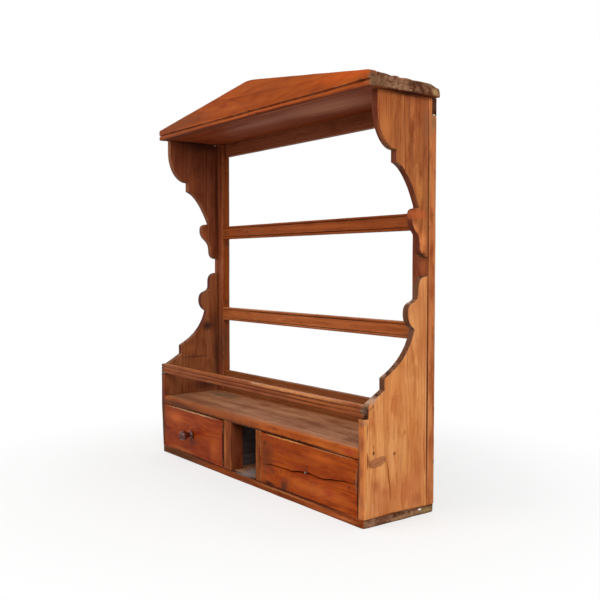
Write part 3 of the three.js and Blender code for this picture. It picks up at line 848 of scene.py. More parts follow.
# pediment: bead along its foot, rubbed round at both ends
pediment = {
    "edge": 0.0014,
    "cuts": 0.022,
    "closeCuts": (0.004, 4),
    "leftRound": 0.005,
    "rightRound": 0.010,
    "waves": (0.0005, 0.05),
    "finish": "gable", "grain": "x", "pith": (0, 0.03, 1.01), "seed": 5.1, "ring": 0.0038,
    "wander": 0.05, "contrast": 0.35, "figure": 0.8,
    "sides": {"back": "dusty", "under": "shade", "upper": "rail"}, "blend": (0.15, 0.6), "flecks": 0.5,
    "uneven": 0.6, "mottle": 0.5, "gloss": 0.36,
    "marks": touches(
        ((400, -100, 998), (160, 30, 22), (196, 84, 28), 0.7),
        # painted highlight along the upper half of the bead
        ((100, -110, 970.5), (360, 10, 3), (190, 92, 44), 0.5),
        # painted shade on the lower half of the bead
        ((0, -110, 961.2), (490, 10, 6.8), (78, 30, 12), 0.9, 0.3, exact),
        # painted shade along the pediment's underside and its lower arris
        ((0, -98, 961), (600, 10, 2.2), (112, 56, 34), 0.95, 0.8, exact),
        ((180, -96.5, 961), (420, 10.5, 4), (170, 98, 68), 0.85, 0.2, crisp),
        ((-380, -100, 990), (260, 30, 50), (104, 54, 26), 0.7),
        ((120, -100, 1020), (160, 30, 20), (120, 54, 26), 0.6),
        ((240, -100, 985), (160, 30, 6), (128, 54, 22), 0.5),
        ((0, -100, 1040), (160, 30, 14), (170, 88, 36), 0.5),
        ((18.4, -109, 978), (5, 10, 4), (56, 26, 18), 0.85, 0.3),
        ((19.2, -109, 968), (2.2, 10, 8), (56, 26, 18), 0.7, 0.3),
        ((460, -109, 977), (16, 12, 4), (76, 48, 26), 0.8, 0.3),
        ((474, -109, 973), (6, 12, 4), (170, 120, 76), 0.5, 0.3),
        ((489, -100, 976), (14, 30, 26), (112, 84, 60), 0.8, 0.1),
        ((490, -100, 984), (10, 12, 4), (66, 46, 36), 0.6),
        ((490, -96, 968), (10, 10, 5), (78, 54, 42), 0.6),
        ((-300, -100, 1000), (200, 30, 30), (120, 62, 30), 0.5),
        ((-50, -100, 995), (250, 30, 12), (168, 86, 42), 0.5),
        ((-130, -109, 1010), (2.5, 10, 16), (96, 46, 26), 0.5, 0.3),
    ),
}
bm = boardMesh("pediment_board")
softenEdges(bm, pediment["edge"])
low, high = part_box("pediment_board")
cutAcross(bm, "x", closeAtEnds(low.x, high.x, pediment["cuts"], *pediment["closeCuts"]))
for vert in bm.verts:
    roundCorners(vert, (low, high), pediment["leftRound"], pediment["rightRound"])
wander(bm, *pediment["waves"], pediment["seed"], "pediment_board")
showPiece(bm, "pedimentBoard", "pediment_board", pine("pedimentPine", pediment))

topRail = {
    "edge": 0.0015, "cuts": {"x": 0.04},
    "finish": "stile", "grain": "x", "pith": (0, 0.15, 0.9), "seed": 7.7, "sides": {"back": "dusty"},
    "end": "sawn",
    "marks": touches(((475, 100, 922.5), (6, 6, 3), (226, 206, 176), 0.9, 0.3)),
}
plainBoard("topBackRail", "top_back_rail", topRail)
print("top made")

# scrolled sides and brackets: seam is the open joint to the upright behind, frontCorner the
# worn corner of the right side, each with the coordinates that it keeps and its width
seam = ({"x": 0.475, "y": 0.084}, 0.0022)
frontCorner = ({"x": 0.475, "y": -0.109}, 0.0050)
scroll = {"edge": 0.0013, "cuts": {"z": 0.013}, "waves": (0.0005, 0.05), "grain": "z", "face": "x"}
rightBracket = {
    **scroll, "wide": [seam], "finish": "amber", "pith": (0.40, 0.035, 0), "seed": 11.2,
    "ring": 0.0042, "contrast": 0.6, "figure": 1.0, "sides": {"left": "inner"}, "sawn": "redSawn",
    "uneven": 0.6, "mottle": 0.7, "gloss": 0.45,
    "marks": touches(
        ((475, 45, 955), (20, 50, 30), (128, 58, 34), 0.5),
        ((475, 70, 860), (20, 14, 170), (128, 70, 42), 0.55),
        ((475, -50, 880), (20, 30, 60), (196, 118, 62), 0.5),
        ((475, -13, 880), (20, 1.6, 85), (84, 40, 26), 0.7),
        ((475, 20, 920), (20, 5, 60), (120, 62, 42), 0.55),
        ((475, 43, 900), (20, 3, 70), (116, 62, 42), 0.5),
        ((475, 60, 745), (20, 22, 50), (200, 128, 66), 0.5),
        ((475, 54, 694), (20, 36, 14), (186, 92, 48), 0.62, 0.2, boxed),
        ((464, 30, 700), (20, 12, 16), (168, 88, 50), 0.6),
        ((476, 40, 655), (6, 20, 36), (224, 138, 82), 0.9),
        ((476, 66, 632), (6, 18, 36), (230, 140, 80), 0.9),
        ((472, -82, 910), (10, 10, 55), (186, 80, 34), 0.7),
        ((475, 5, 900), (20, 3, 80), (112, 56, 38), 0.6),
        ((475, 32, 840), (20, 2.5, 110), (104, 54, 36), 0.6),
        ((475, -30, 830), (20, 10, 40), (200, 124, 70), 0.5),
        # painted shadow of the top board across the bracket's top
        ((475, 15, 959), (20, 75, 5), (70, 34, 24), 0.8),
        ((475, 48, 780), (20, 10, 50), (196, 126, 70), 0.6),
        # painted shadow over the bracket's toe (this row and the next two)
        ((475, 50, 620), (20, 12, 14), (66, 28, 20), 0.7),
        ((475, 70, 604), (20, 16, 6), (66, 28, 22), 0.8),
        ((464, 58, 628), (12, 30, 40), (70, 34, 24), 0.6),
        ((475, 78, 900), (20, 22, 60), (136, 82, 52), 0.8),
        ((475, 78, 720), (20, 14, 70), (150, 90, 52), 0.6),
        ((475, 84, 760), (20, 2.2, 210), (54, 26, 14), 0.85, 0.4, exact),
    ),
}
leftBracket = {
    **scroll, "finish": "honey", "pith": (-0.40, -0.02, 0), "seed": 14.9,
    "ring": 0.0046, "contrast": 0.5, "figure": 1.0, "sides": {"right": "inner"}, "sawn": "redSawn",
    "wear": 0.15, "gloss": 0.4,
    "marks": touches(
        ((-456, -28, 885), (3, 1.2, 79), (62, 28, 20), 0.85, 0.3, exact),
        ((-456, -55, 900), (10, 30, 60), (104, 48, 34), 0.4),
        # painted shade over the upper inner face, under the top board
        ((-456, 30, 955), (10, 120, 30), (50, 24, 24), 0.75),
        ((-456, 80, 780), (10, 10, 200), (52, 24, 18), 0.7),
        ((-456, -5, 830), (10, 18, 60), (140, 74, 40), 0.5),
        ((-456, -65, 900), (10, 4, 60), (62, 30, 20), 0.6),
        ((-456, 35, 670), (10, 24, 30), (150, 78, 36), 0.7),
        # painted shadow of the top board across the bracket's top
        ((-456, -10, 960), (10, 120, 6), (34, 18, 16), 0.8),
        ((-456, 75, 959), (6, 6, 2.2), (196, 188, 178), 0.8, 0.3, crisp),
    ),
}
plainBoard("rightBracket", "right_upper_bracket", rightBracket)
plainBoard("leftBracket", "left_upper_bracket", leftBracket)

rightSide = {
    **scroll, "wide": [seam, frontCorner],
    "cracks": [  # from and to are y and z
        {"from": (-0.0400, 0.143), "to": (-0.0280, 0.050), "width": 0.0040, "depth": 0.006},
        {"from": (-0.0985, 0.168), "to": (-0.0980, 0.132), "width": 0.0048, "depth": 0.006},
        {"from": (0.0740, 0.200), "to": (0.0785, 0.095), "width": 0.0042, "depth": 0.008},
        {"from": (0.0053, 0.098), "to": (0.0060, 0.026), "width": 0.0018, "depth": 0.004},
    ],
    "crackPath": {"x": 0.475, "steps": 9, "bend": 0.0015, "bends": 4, "seed": 9.7},
    "finish": "honey", "pith": (0.43, -0.015, 0), "seed": 21.6,
    "ring": 0.0085, "wander": 0.08, "contrast": 0.42, "figure": 0.8,
    "sides": {"left": "inner", "front": "umber"}, "sawnShare": 0.95, "sawnFrom": (0.262, 0.275),
    "endDirt": (60, 40, 30), "uneven": 0.7, "blotch": (232, 196, 164), "mottle": 0.5,
    "stain": (206, 156, 118), "gloss": 0.45,
    "marks": touches(
        ((475, -69.5, 143.5), (10, 30, 12), (112, 62, 36), 0.65, 0.75, {"tilt": -12}),
        ((475, -69.5, 144), (10, 28, 10.5), (178, 112, 74), 0.8, 0.6, {"tilt": -12}),
        ((475, -60, 145), (10, 18, 1.6), (122, 66, 40), 0.6, 0.3, {"tilt": -16}),
        ((475, -74, 141), (10, 14, 4), (142, 84, 54), 0.6, 0.0, {"tilt": -20}),
        ((475, -80.7, 166), (5, 4.2, 6.5), (70, 32, 16), 0.9, 0.3),
        ((475, -81.5, 178), (5, 2.6, 9), (128, 72, 36), 0.7, 0.3),
        ((475, -18.5, 156), (5, 5, 6.5), (112, 58, 26), 0.8, 0.3),
        ((475, -74, 91), (10, 24, 26), (156, 70, 40), 0.65),
        ((475, -50, 72), (10, 26, 16), (180, 92, 52), 0.5),
        ((475, -96, 148), (10, 6, 20), (128, 68, 34), 0.5),
        ((475, -99, 215), (5, 1.6, 30), (92, 48, 24), 0.75, 0.3),
        ((475, -82.5, 240), (5, 1.8, 45), (150, 80, 34), 0.65, 0.3),
        ((475, -83, 270), (5, 3, 6), (128, 68, 30), 0.7, 0.3),
        ((475, 12, 200), (5, 6, 10), (176, 100, 52), 0.6, 0.3),
        ((475, 30, 245), (5, 4, 8), (176, 102, 54), 0.6, 0.3),
        ((475, -10, 285), (5, 8, 4), (180, 104, 56), 0.5, 0.3),
        ((475, -82, 44), (4, 1.3, 18), (232, 186, 148), 0.6, 0.3),
        ((475, -67, 30), (4, 1.2, 12), (232, 186, 148), 0.6, 0.3),
        # painted shadow line where the side stands on the bottom board
        ((475, -15, 21.5), (10, 100, 3.5), (70, 34, 20), 0.85, 0.0, boxed),
        ((475, 50, 40), (10, 30, 22), (152, 78, 48), 0.6),
        ((475, 26, 170), (10, 10, 35), (176, 102, 54), 0.6),
        ((475, 55, 100), (10, 30, 50), (184, 106, 62), 0.5),
        ((475, 10, 70), (10, 70, 40), (190, 106, 64), 0.5),
        ((475, -20, 210), (10, 6, 60), (180, 110, 62), 0.5),
        ((475, 45, 300), (10, 8, 60), (182, 106, 58), 0.5),
        ((475, -60, 200), (10, 14, 50), (228, 158, 96), 0.5),
        ((476, -60, 55), (6, 55, 65), (184, 104, 62), 0.65),
        ((476, 30, 60), (6, 60, 70), (198, 118, 72), 0.5),
        ((476, 50, 500), (6, 60, 80), (180, 108, 66), 0.65),
        ((476, 20, 410), (6, 60, 50), (188, 114, 70), 0.4),
        ((475, -90, 143.5), (10, 10, 16), (120, 66, 40), 0.5),
        ((475, 0, 125), (10, 1.6, 50), (150, 84, 46), 0.6),
        ((475, 36, 150), (10, 1.6, 80), (154, 88, 48), 0.6),
        ((475, -52, 260), (10, 1.8, 70), (160, 92, 48), 0.6),
        ((475, 60, 420), (10, 2, 60), (150, 86, 46), 0.6),
        ((475, 20, 360), (10, 2, 80), (160, 92, 50), 0.6),
        ((475, -97, 80), (10, 3, 60), (228, 160, 98), 0.5),
        ((475, 77.2, 300), (10, 0.8, 240), (150, 84, 44), 0.6, 0.3, exact),
        ((475, -109, 235), (20, 12, 10), (168, 122, 88), 0.6),
        ((466, -86, 283), (20, 22, 16), (178, 140, 116), 0.85, 0.3),
        ((475, -88, 266), (8, 14, 6), (120, 76, 52), 0.6, 0.0, {"tilt": -38}),
        ((475, -105, 130), (12, 5, 120), (196, 112, 48), 0.5),
        ((456, -109, 130), (10, 8, 120), (92, 46, 26), 0.85, 0.1),
        ((468, -109, 60), (10, 6, 30), (140, 80, 48), 0.6),
        ((466, -109, 125), (10, 6, 22), (128, 72, 42), 0.6),
        ((468, -109, 185), (12, 6, 30), (128, 68, 40), 0.7),
        ((464, -109, 232), (16, 10, 14), (96, 58, 40), 0.6),
        ((475, 74, 420), (10, 34, 170), (182, 108, 60), 0.85),
        ((475, 72, 160), (10, 28, 140), (204, 130, 78), 0.6),
        ((475, 84, 200), (20, 3, 195), (50, 24, 12), 0.92, 0.4, exact),
    ),
}
leftSide = {
    **scroll,
    "corner": {
        "inFrontOf": -0.100, "below": 0.150, "taper": 0.010, "thick": 0.019,
        "shoulder": 0.242, "near": 0.004, "lift": 0.0029,
    },
    "finish": "honey", "pith": (-0.42, 0.03, 0), "seed": 26.3,
    "ring": 0.0045, "contrast": 0.4, "figure": 1.0, "sides": {"right": "innerLow", "front": "inner"},
    "sawn": "redSawn", "sawnFrom": (0.262, 0.275), "mottle": 0.7, "wear": 0.15,
    "marks": touches(
        ((-466, -109, 150), (20, 6, 55), (66, 30, 28), 0.8),
        ((-460, -109, 215), (12, 6, 30), (120, 54, 32), 0.8, 0.2),
        ((-471, -109, 222), (10, 6, 26), (92, 66, 44), 0.85, 0.2),
        # painted shadow in the groove between the shoulder and the gallery rail
        ((-465, -106, 245), (20, 14, 5.5), (52, 26, 16), 0.95, 0.5),
        ((-470, -109, 80), (20, 6, 70), (70, 42, 26), 0.8, 0.2),
        ((-456, 45, 386), (10, 30, 24), (42, 26, 26), 0.9),
        # painted shade along the upright
        ((-456, 70, 400), (10, 18, 60), (70, 36, 26), 0.6),
        ((-456, 0, 290), (10, 75, 5), (76, 38, 26), 0.7),
        # painted shade along the upright
        ((-456, 78, 300), (10, 16, 140), (60, 32, 24), 0.8),
        # painted shade low down behind the gallery rail
        ((-456, 40, 200), (10, 90, 40), (58, 24, 22), 0.85),
        ((-456, -20, 315), (10, 30, 20), (150, 84, 46), 0.6),
        ((-456, 20, 250), (10, 50, 20), (136, 74, 42), 0.5),
    ),
}
rightSidePiece = plainBoard("rightSide", "right_lower_side", rightSide)
leftSidePiece = plainBoard("leftSide", "left_lower_side", leftSide)

# the left side's front edge tapers at its foot, and its shoulder is raised to the gallery rail
corner = leftSide["corner"]
low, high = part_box("left_lower_side")
for vert in leftSidePiece.data.vertices:
    x, y, z = vert.co
    if y < corner["inFrontOf"] and z < corner["below"]:
        share = (corner["below"] - z) / (corner["below"] - low.z)
        vert.co.x += corner["taper"] * share * (high.x - x) / corner["thick"]
    if y < corner["inFrontOf"] and abs(z - corner["shoulder"]) < corner["near"]:
        vert.co.z = corner["shoulder"] + corner["lift"]

crackPath = rightSide["crackPath"]
for number, crack in enumerate(rightSide["cracks"]):
    (startY, startZ), (stopY, stopZ) = crack["from"], crack["to"]
    path = []
    for index in range(crackPath["steps"] + 1):
        share = index / crackPath["steps"]
        y = startY + (stopY - startY) * share
        z = startZ + (stopZ - startZ) * share
        bend = noise.noise(Vector((number * crackPath["seed"], share * crackPath["bends"], 1)))
        path.append((crackPath["x"], y + bend * crackPath["bend"], z))
    carve(rightSidePiece, crackBlade(path, (1, 0, 0), crack["width"], crack["depth"]), crackShadeWood)
print("sides made")

# uprights and plate rails
upright = {
    "edge": 0.0014, "cuts": {"z": 0.024}, "waves": (0.0005, 0.05),
    "finish": "stile", "grain": "z", "contrast": 0.5,
}
leftStile = {
    **upright, "pith": (-0.43, 0.14, 0), "seed": 31.4,
    "sides": {"left": "honey", "back": "dusty", "right": "rail"}, "gloss": 0.4,
    "marks": touches(
        ((-454.5, 84, 500), (2.6, 4, 470), (38, 18, 14), 0.85, 0.3, exact),
        ((-424, 108, 500), (4, 4, 470), (104, 92, 76), 0.6, 0.3, boxed),
        ((-424, 96, 870), (4, 5, 6), (70, 32, 20), 0.7, 0.3),
        ((-424, 97, 645), (4, 12, 12), (70, 38, 24), 0.6, 0.3),
        ((-424, 97, 462), (4, 12, 14), (60, 32, 22), 0.6),
        ((-434, 92, 330), (24, 20, 140), (66, 46, 38), 0.9),
        ((-430, 84, 560), (8, 6, 300), (146, 82, 46), 0.5),
    ),
}
rightStile = {
    **upright, "wide": [seam], "pith": (0.41, 0.13, 0), "seed": 37.8,
    "figure": 1.0, "sides": {"right": "umber", "back": "dusty"}, "mottle": 0.7,
    "marks": touches(
        ((475, 100, 695), (20, 7, 8), (110, 66, 34), 0.6),
        ((475, 88, 665), (20, 4, 6), (110, 66, 34), 0.6, 0.3),
        ((475, 87, 760), (10, 2.2, 200), (196, 136, 78), 0.5),
        ((475, 107, 245), (5, 4, 6), (84, 42, 24), 0.85, 0.3),
        ((475, 107, 120), (5, 3, 8), (84, 42, 24), 0.8, 0.3),
        ((475, 95, 160), (20, 20, 50), (152, 76, 42), 0.5),
        ((475, 100, 905), (20, 10, 20), (100, 76, 46), 0.7, 0.3),
        ((475, 109, 760), (3, 3, 200), (96, 78, 54), 0.6),
        ((477, 84, 490), (4, 3.3, 480), (50, 24, 12), 0.92, 0.5, exact),
        ((476, 107.5, 600), (4, 3.5, 360), (178, 138, 104), 0.75, 0.0, boxed),
        ((475.5, 89.5, 240), (3, 1.6, 220), (228, 168, 116), 0.6, 0.0, boxed),
        ((475, 97, 235), (10, 8, 50), (214, 138, 84), 0.5),
        ((475, 100, 65), (10, 10, 40), (206, 134, 82), 0.5),
        ((475, 96, 800), (10, 5, 60), (150, 84, 48), 0.5),
        ((475, 101, 720), (10, 4, 40), (216, 142, 84), 0.5),
        ((475, 94, 440), (10, 6, 100), (206, 126, 72), 0.5),
        ((475, 100, 350), (10, 8, 90), (150, 82, 46), 0.5),
        ((475, 96, 540), (10, 5, 50), (150, 84, 50), 0.5),
        ((460, 84, 576), (20, 6, 36), (160, 84, 44), 0.5),
        ((476, 96, 900), (6, 16, 50), (152, 100, 64), 0.85),
    ),
}
plainBoard("leftStile", "left_stile", leftStile)
plainBoard("rightStile", "right_stile", rightStile)

plateRail = {
    "edge": 0.0006, "cuts": {"x": 0.028}, "waves": (0.0003, 0.05),
    "grain": "x", "ring": 0.003, "contrast": 0.35, "gloss": 0.38,
}
upperPlateRail = {
    **plateRail, "finish": "rail", "pith": (0, 0.11, 0.69), "seed": 41.2,
    "sides": {"back": "dusty"},
    "knots": [{
        "at": (-0.284, 0.084, 0.680), "size": (0.005, 0.004, 0.0035),
        "tone": (70, 34, 20), "halo": (128, 62, 34), "pull": 0.004,
    }],
    "marks": touches(
        ((100, 84, 682), (360, 6, 10), (164, 84, 36), 0.5),
        ((-405, 84, 680), (30, 6, 16), (74, 42, 24), 0.6),
        ((0, 87.5, 668), (450, 2.2, 1.6), (50, 22, 14), 0.9, 0.3, exact),
        ((0, 87.5, 694), (450, 2.2, 1.6), (50, 22, 14), 0.9, 0.3, exact),
    ),
}
lowerPlateRail = {
    **plateRail, "finish": "railLow", "pith": (0, 0.12, 0.42), "seed": 46.6,
    "sides": {"back": "dusty", "upper": "shelf"},
    "marks": touches(
        ((0, 87.5, 411.5), (450, 2.2, 1.6), (50, 22, 14), 0.9, 0.3, exact),
        ((0, 87.5, 437.5), (450, 2.2, 1.6), (50, 22, 14), 0.9, 0.3, exact),
    ),
}
plainBoard("upperPlateRail", "upper_plate_rail", upperPlateRail)
plainBoard("lowerPlateRail", "lower_plate_rail", lowerPlateRail)
print("uprights and rails made")

# base: panel, gallery rail, shelf and bottom board
backPanel = {
    "cuts": {"x": 0.04},
    "finish": "panel", "grain": "x", "pith": (0.05, 0.13, 0.15), "seed": 51.9, "contrast": 0.7,
    "sides": {"back": "dusty"},
}
plainBoard("backPanel", "back_panel", backPanel)

galleryRail = {
    "edge": 0.0006, "cuts": {"x": 0.025}, "waves": (0.0004, 0.04),
    "finish": "gallery", "grain": "x", "pith": (0, -0.08, 0.25), "seed": 56.2, "ring": 0.0028,
    "contrast": 0.35, "sides": {"upper": "amber"}, "end": "sawn", "flecks": 0.6, "wear": 0.5,
    "gloss": 0.36,
    "marks": touches(
        ((0, -107, 254.3), (480, 2.4, 1.3), (54, 24, 16), 0.85, 0.3, exact),
        ((0, -107, 263.7), (480, 2.4, 1.3), (54, 24, 16), 0.85, 0.3, exact),
        ((0, -106, 246.5), (480, 10, 2.2), (60, 28, 20), 0.7),
        ((466, -109, 262), (5, 4, 2.2), (226, 186, 142), 0.9, 0.3),
        ((469, -109, 255.5), (5, 4, 2.2), (206, 168, 130), 0.8, 0.3),
        ((470, -106, 262), (16, 10, 14), (98, 78, 62), 0.85, 0.3),
        ((470, -100, 272), (24, 12, 4), (150, 124, 96), 0.7, 0.2),
        ((220, -105, 270.5), (240, 8, 5), (198, 134, 84), 0.9, 0.2, boxed),
        ((48, -105, 272), (35, 8, 3), (190, 146, 112), 0.7, 0.3),
        ((-150, -105, 269), (200, 8, 4), (150, 82, 40), 0.6, 0.0, boxed),
        ((300, -109, 259), (160, 6, 3), (176, 98, 46), 0.6, 0.0, boxed),
        ((320, -109, 250), (140, 6, 3), (160, 84, 38), 0.5, 0.0, boxed),
        ((-474, -107, 260), (16, 24, 32), (58, 42, 34), 0.9, 0.2),
        # painted shadow in the groove between the gallery rail and the left side's shoulder
        ((-466, -107, 246.2), (24, 10, 3.2), (36, 18, 10), 0.95, 0.3),
    ),
}
plainBoard("galleryRail", "gallery_rail", galleryRail)

shelfBoard = {
    "edge": 0.0010, "cuts": {"x": 0.03, "y": 0.05}, "waves": (0.0005, 0.06),
    "finish": "shelf", "grain": "x", "pith": (0.05, -0.02, 0.13), "seed": 61.5, "ring": 0.0046,
    "wander": 0.06, "contrast": 0.4, "figure": 1.0, "sides": {"front": "edge", "under": "dusty"},
    "blend": (0.0, 0.8), "uneven": 0.8, "blotch": (204, 176, 160), "mottle": 0.6,
    "stain": (176, 138, 118), "wear": 0.7, "worn": (160, 82, 42), "gloss": 0.5,
    "marks": touches(
        ((100, -102, 176), (500, 24, 10), (178, 100, 52), 0.6),
        # painted shadow in the gap above the drawers
        ((0, -108, 152), (470, 12, 5.6), (42, 20, 12), 0.94, 0.55, boxed),
        ((-380, -107, 160), (300, 14, 18), (88, 50, 34), 0.95, 0.1),
        ((-60, -107, 157), (240, 14, 12), (104, 58, 34), 0.8),
        ((-100, -106, 170), (300, 20, 13), (124, 74, 48), 0.7),
        ((420, -108, 163), (40, 20, 12), (156, 54, 36), 0.6, 0.1),
        ((102.6, -43, 175), (30, 4, 10), (110, 62, 40), 0.7),
        ((200, -36, 175), (50, 3, 10), (118, 68, 46), 0.6),
        ((60, -52, 175), (40, 3, 10), (112, 66, 44), 0.6),
        ((-360, 45, 175), (110, 44, 10), (104, 88, 72), 0.75),
        ((-410, -60, 175), (60, 40, 10), (136, 98, 76), 0.6),
        ((-300, -80, 176), (280, 50, 20), (122, 72, 48), 0.75),
        ((-220, 20, 175), (160, 20, 10), (134, 92, 72), 0.6),
        ((-200, -10, 175), (220, 14, 10), (126, 72, 48), 0.6),
        ((0, 20, 175), (300, 10, 10), (198, 146, 112), 0.5),
        ((-120, -65, 175), (160, 8, 10), (124, 76, 52), 0.6),
        ((260, -80, 175), (180, 10, 10), (200, 146, 112), 0.5),
        ((240, 5, 175), (150, 6, 10), (120, 78, 60), 0.5),
    ),
}
plainBoard("shelfBoard", "shelf_board", shelfBoard)

bottomBoard = {
    "edge": 0.0026,
    "cuts": 0.03,
    "closeCuts": (0.004, 5),
    "frontCuts": (0.004, 0.009, 0.016),
    "depthCuts": 0.022,
    "leftRound": 0.014,
    "rightRound": 0.012,
    "waves": (0.0008, 0.04),
    "finish": "foot", "grain": "x", "pith": (0, 0.05, 0.06), "seed": 66.1, "ring": 0.004,
    "contrast": 0.5, "figure": 1.0, "sides": {"upper": "shelf", "under": "dusty", "back": "dusty"},
    "flecks": 0.5, "mottle": 0.8, "stain": (150, 110, 84), "wear": 0.5, "worn": (120, 66, 30),
    "gloss": 0.45,
    "marks": touches(
        ((473, 65, 13.5), (4, 6.5, 2.8), (250, 244, 232), 1.0, 0.6, crisp),
        ((473, 20, 19), (4, 30, 1.6), (206, 184, 156), 0.6, 0.3),
        ((473, -40, 12), (20, 30, 10), (116, 72, 54), 0.6),
        ((473, 85, 8), (10, 34, 12), (168, 142, 94), 0.7),
        ((473, -85, 8), (20, 24, 12), (164, 122, 94), 0.6),
        ((473, 0, 6), (10, 60, 6), (172, 128, 92), 0.6),
        ((100, -109, 12), (100, 20, 8), (132, 78, 36), 0.6),
        ((200, -109, 14.5), (220, 20, 3.5), (178, 114, 66), 0.7),
        ((410, -109, 9), (60, 20, 5), (192, 118, 70), 0.6),
        ((240, -109, 6), (70, 20, 4), (104, 56, 28), 0.6),
        ((340, -109, 8), (140, 20, 12), (172, 88, 42), 0.6),
        ((-380, -109, 10), (280, 20, 20), (74, 46, 24), 0.9, 0.1),
        # painted shadow in the gap under the drawers
        ((0, -106, 20), (456, 12, 3), (46, 20, 12), 0.9, 0.4, boxed),
        ((-10, -50, 20), (65, 120, 4), (136, 124, 122), 0.9, 0.2),
        ((-20, -109, 10), (100, 10, 12), (92, 52, 26), 0.5),
        ((474, 30, 8), (10, 90, 8), (186, 142, 104), 0.4),
        # painted shadow line where the right side stands on the board
        ((474, 0, 19.5), (10, 110, 2), (52, 30, 22), 0.8, 0.2),
    ),
}
bm = boardMesh("bottom_board")
softenEdges(bm, bottomBoard["edge"], segments=3)
low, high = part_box("bottom_board")
cutAcross(bm, "x", closeAtEnds(low.x, high.x, bottomBoard["cuts"], *bottomBoard["closeCuts"]))
nearFront = [low.y + cut for cut in bottomBoard["frontCuts"]]
cutAcross(bm, "y", nearFront + evenly(nearFront[-1], high.y, bottomBoard["depthCuts"]))
for vert in bm.verts:
    roundCorners(vert, (low, high), bottomBoard["leftRound"], bottomBoard["rightRound"])
wander(bm, *bottomBoard["waves"], bottomBoard["seed"], "bottom_board")
showPiece(bm, "bottomBoard", "bottom_board", pine("bottomPine", bottomBoard))

leftPost = {
    "cuts": {"z": 0.02},
    "finish": "post", "grain": "z", "pith": (-0.09, -0.05, 0), "seed": 71.3, "contrast": 0.8,
    "sides": {"right": "stile"}, "mottle": 0.7, "wear": 0.6, "worn": (196, 128, 76),
    "marks": touches(
        ((-101, -109, 85), (6, 6, 75), (196, 118, 62), 0.7),
        ((-71, -109, 85), (3, 3, 70), (70, 36, 22), 0.8, 0.2),
        ((-84, -109, 60), (3, 6, 60), (96, 50, 26), 0.6),
        # painted shade near the top of the post's inner face, under the shelf
        ((-70, -80, 140), (4, 30, 14), (50, 26, 22), 0.7),
    ),
}
rightPost = dict(leftPost, pith=(0.03, -0.05, 0), seed=74.6, marks=())
plainBoard("leftPost", "left_divider_post", leftPost)
plainBoard("rightPost", "right_divider_post", rightPost)

partition = {
    "cuts": {"y": 0.03},
    "finish": "dusk", "grain": "y", "pith": (-0.3, 0, 0.08), "contrast": 0.5, "gloss": 0.6,
}
for hand, seed in (("left", 77.2), ("right", 79.9)):
    board = dict(partition, seed=seed)
    plainBoard(hand + "Partition", hand + "_partition", board)
print("base made")

# drawers
drawerFront = {
    "edge": 0.0024, "cuts": {"x": 0.02}, "waves": (0.0005, 0.04),
    "grain": "x", "ring": 0.0026, "wander": 0.05, "contrast": 0.8, "figure": 1.0,
    "sides": {"back": "bare"}, "uneven": 0.7, "blotch": (216, 160, 120), "mottle": 0.6,
    "stain": (190, 130, 90), "worn": (150, 84, 50), "gloss": 0.34,
}
leftFront = {
    **drawerFront, "finish": "drawerLeft", "pith": (-0.3, -0.06, 0.10), "seed": 82.4,
    "marks": touches(
        # painted highlight along the top arris
        ((-290, -107.5, 148.2), (170, 4, 2.4), (190, 148, 110), 0.9, 0.3, boxed),
        # painted shadow in the gap at the drawer's right end
        ((-114, -108, 80), (5.8, 8, 66), (52, 20, 14), 0.9, 0.4),
        # painted shadow in the gap along the drawer's foot
        ((-284, -108, 20.3), (168, 8, 3.4), (56, 24, 12), 0.85, 0.4, boxed),
        ((-392, -109, 129.3), (8, 4, 4), (96, 40, 20), 0.6, 0.3),
        ((-430, -109, 123.6), (8, 4, 8), (128, 72, 24), 0.5, 0.3),
        ((-245, -109, 98), (50, 10, 26), (112, 34, 18), 0.65),
        # painted shadow of the knob
        ((-285, -109, 60), (30, 10, 18), (88, 44, 26), 0.6),
        ((-360, -109, 144), (120, 10, 10), (118, 56, 26), 0.45),
        ((-450, -109, 80), (12, 10, 70), (96, 46, 20), 0.6),
        ((-160, -109, 60), (40, 10, 50), (186, 90, 34), 0.45),
        ((-340, -109, 28), (100, 10, 10), (170, 96, 40), 0.5),
        ((-385, -109, 118), (70, 10, 28), (196, 100, 46), 0.55),
        ((-120, -109, 80), (12, 10, 50), (120, 48, 34), 0.5),
    ),
}
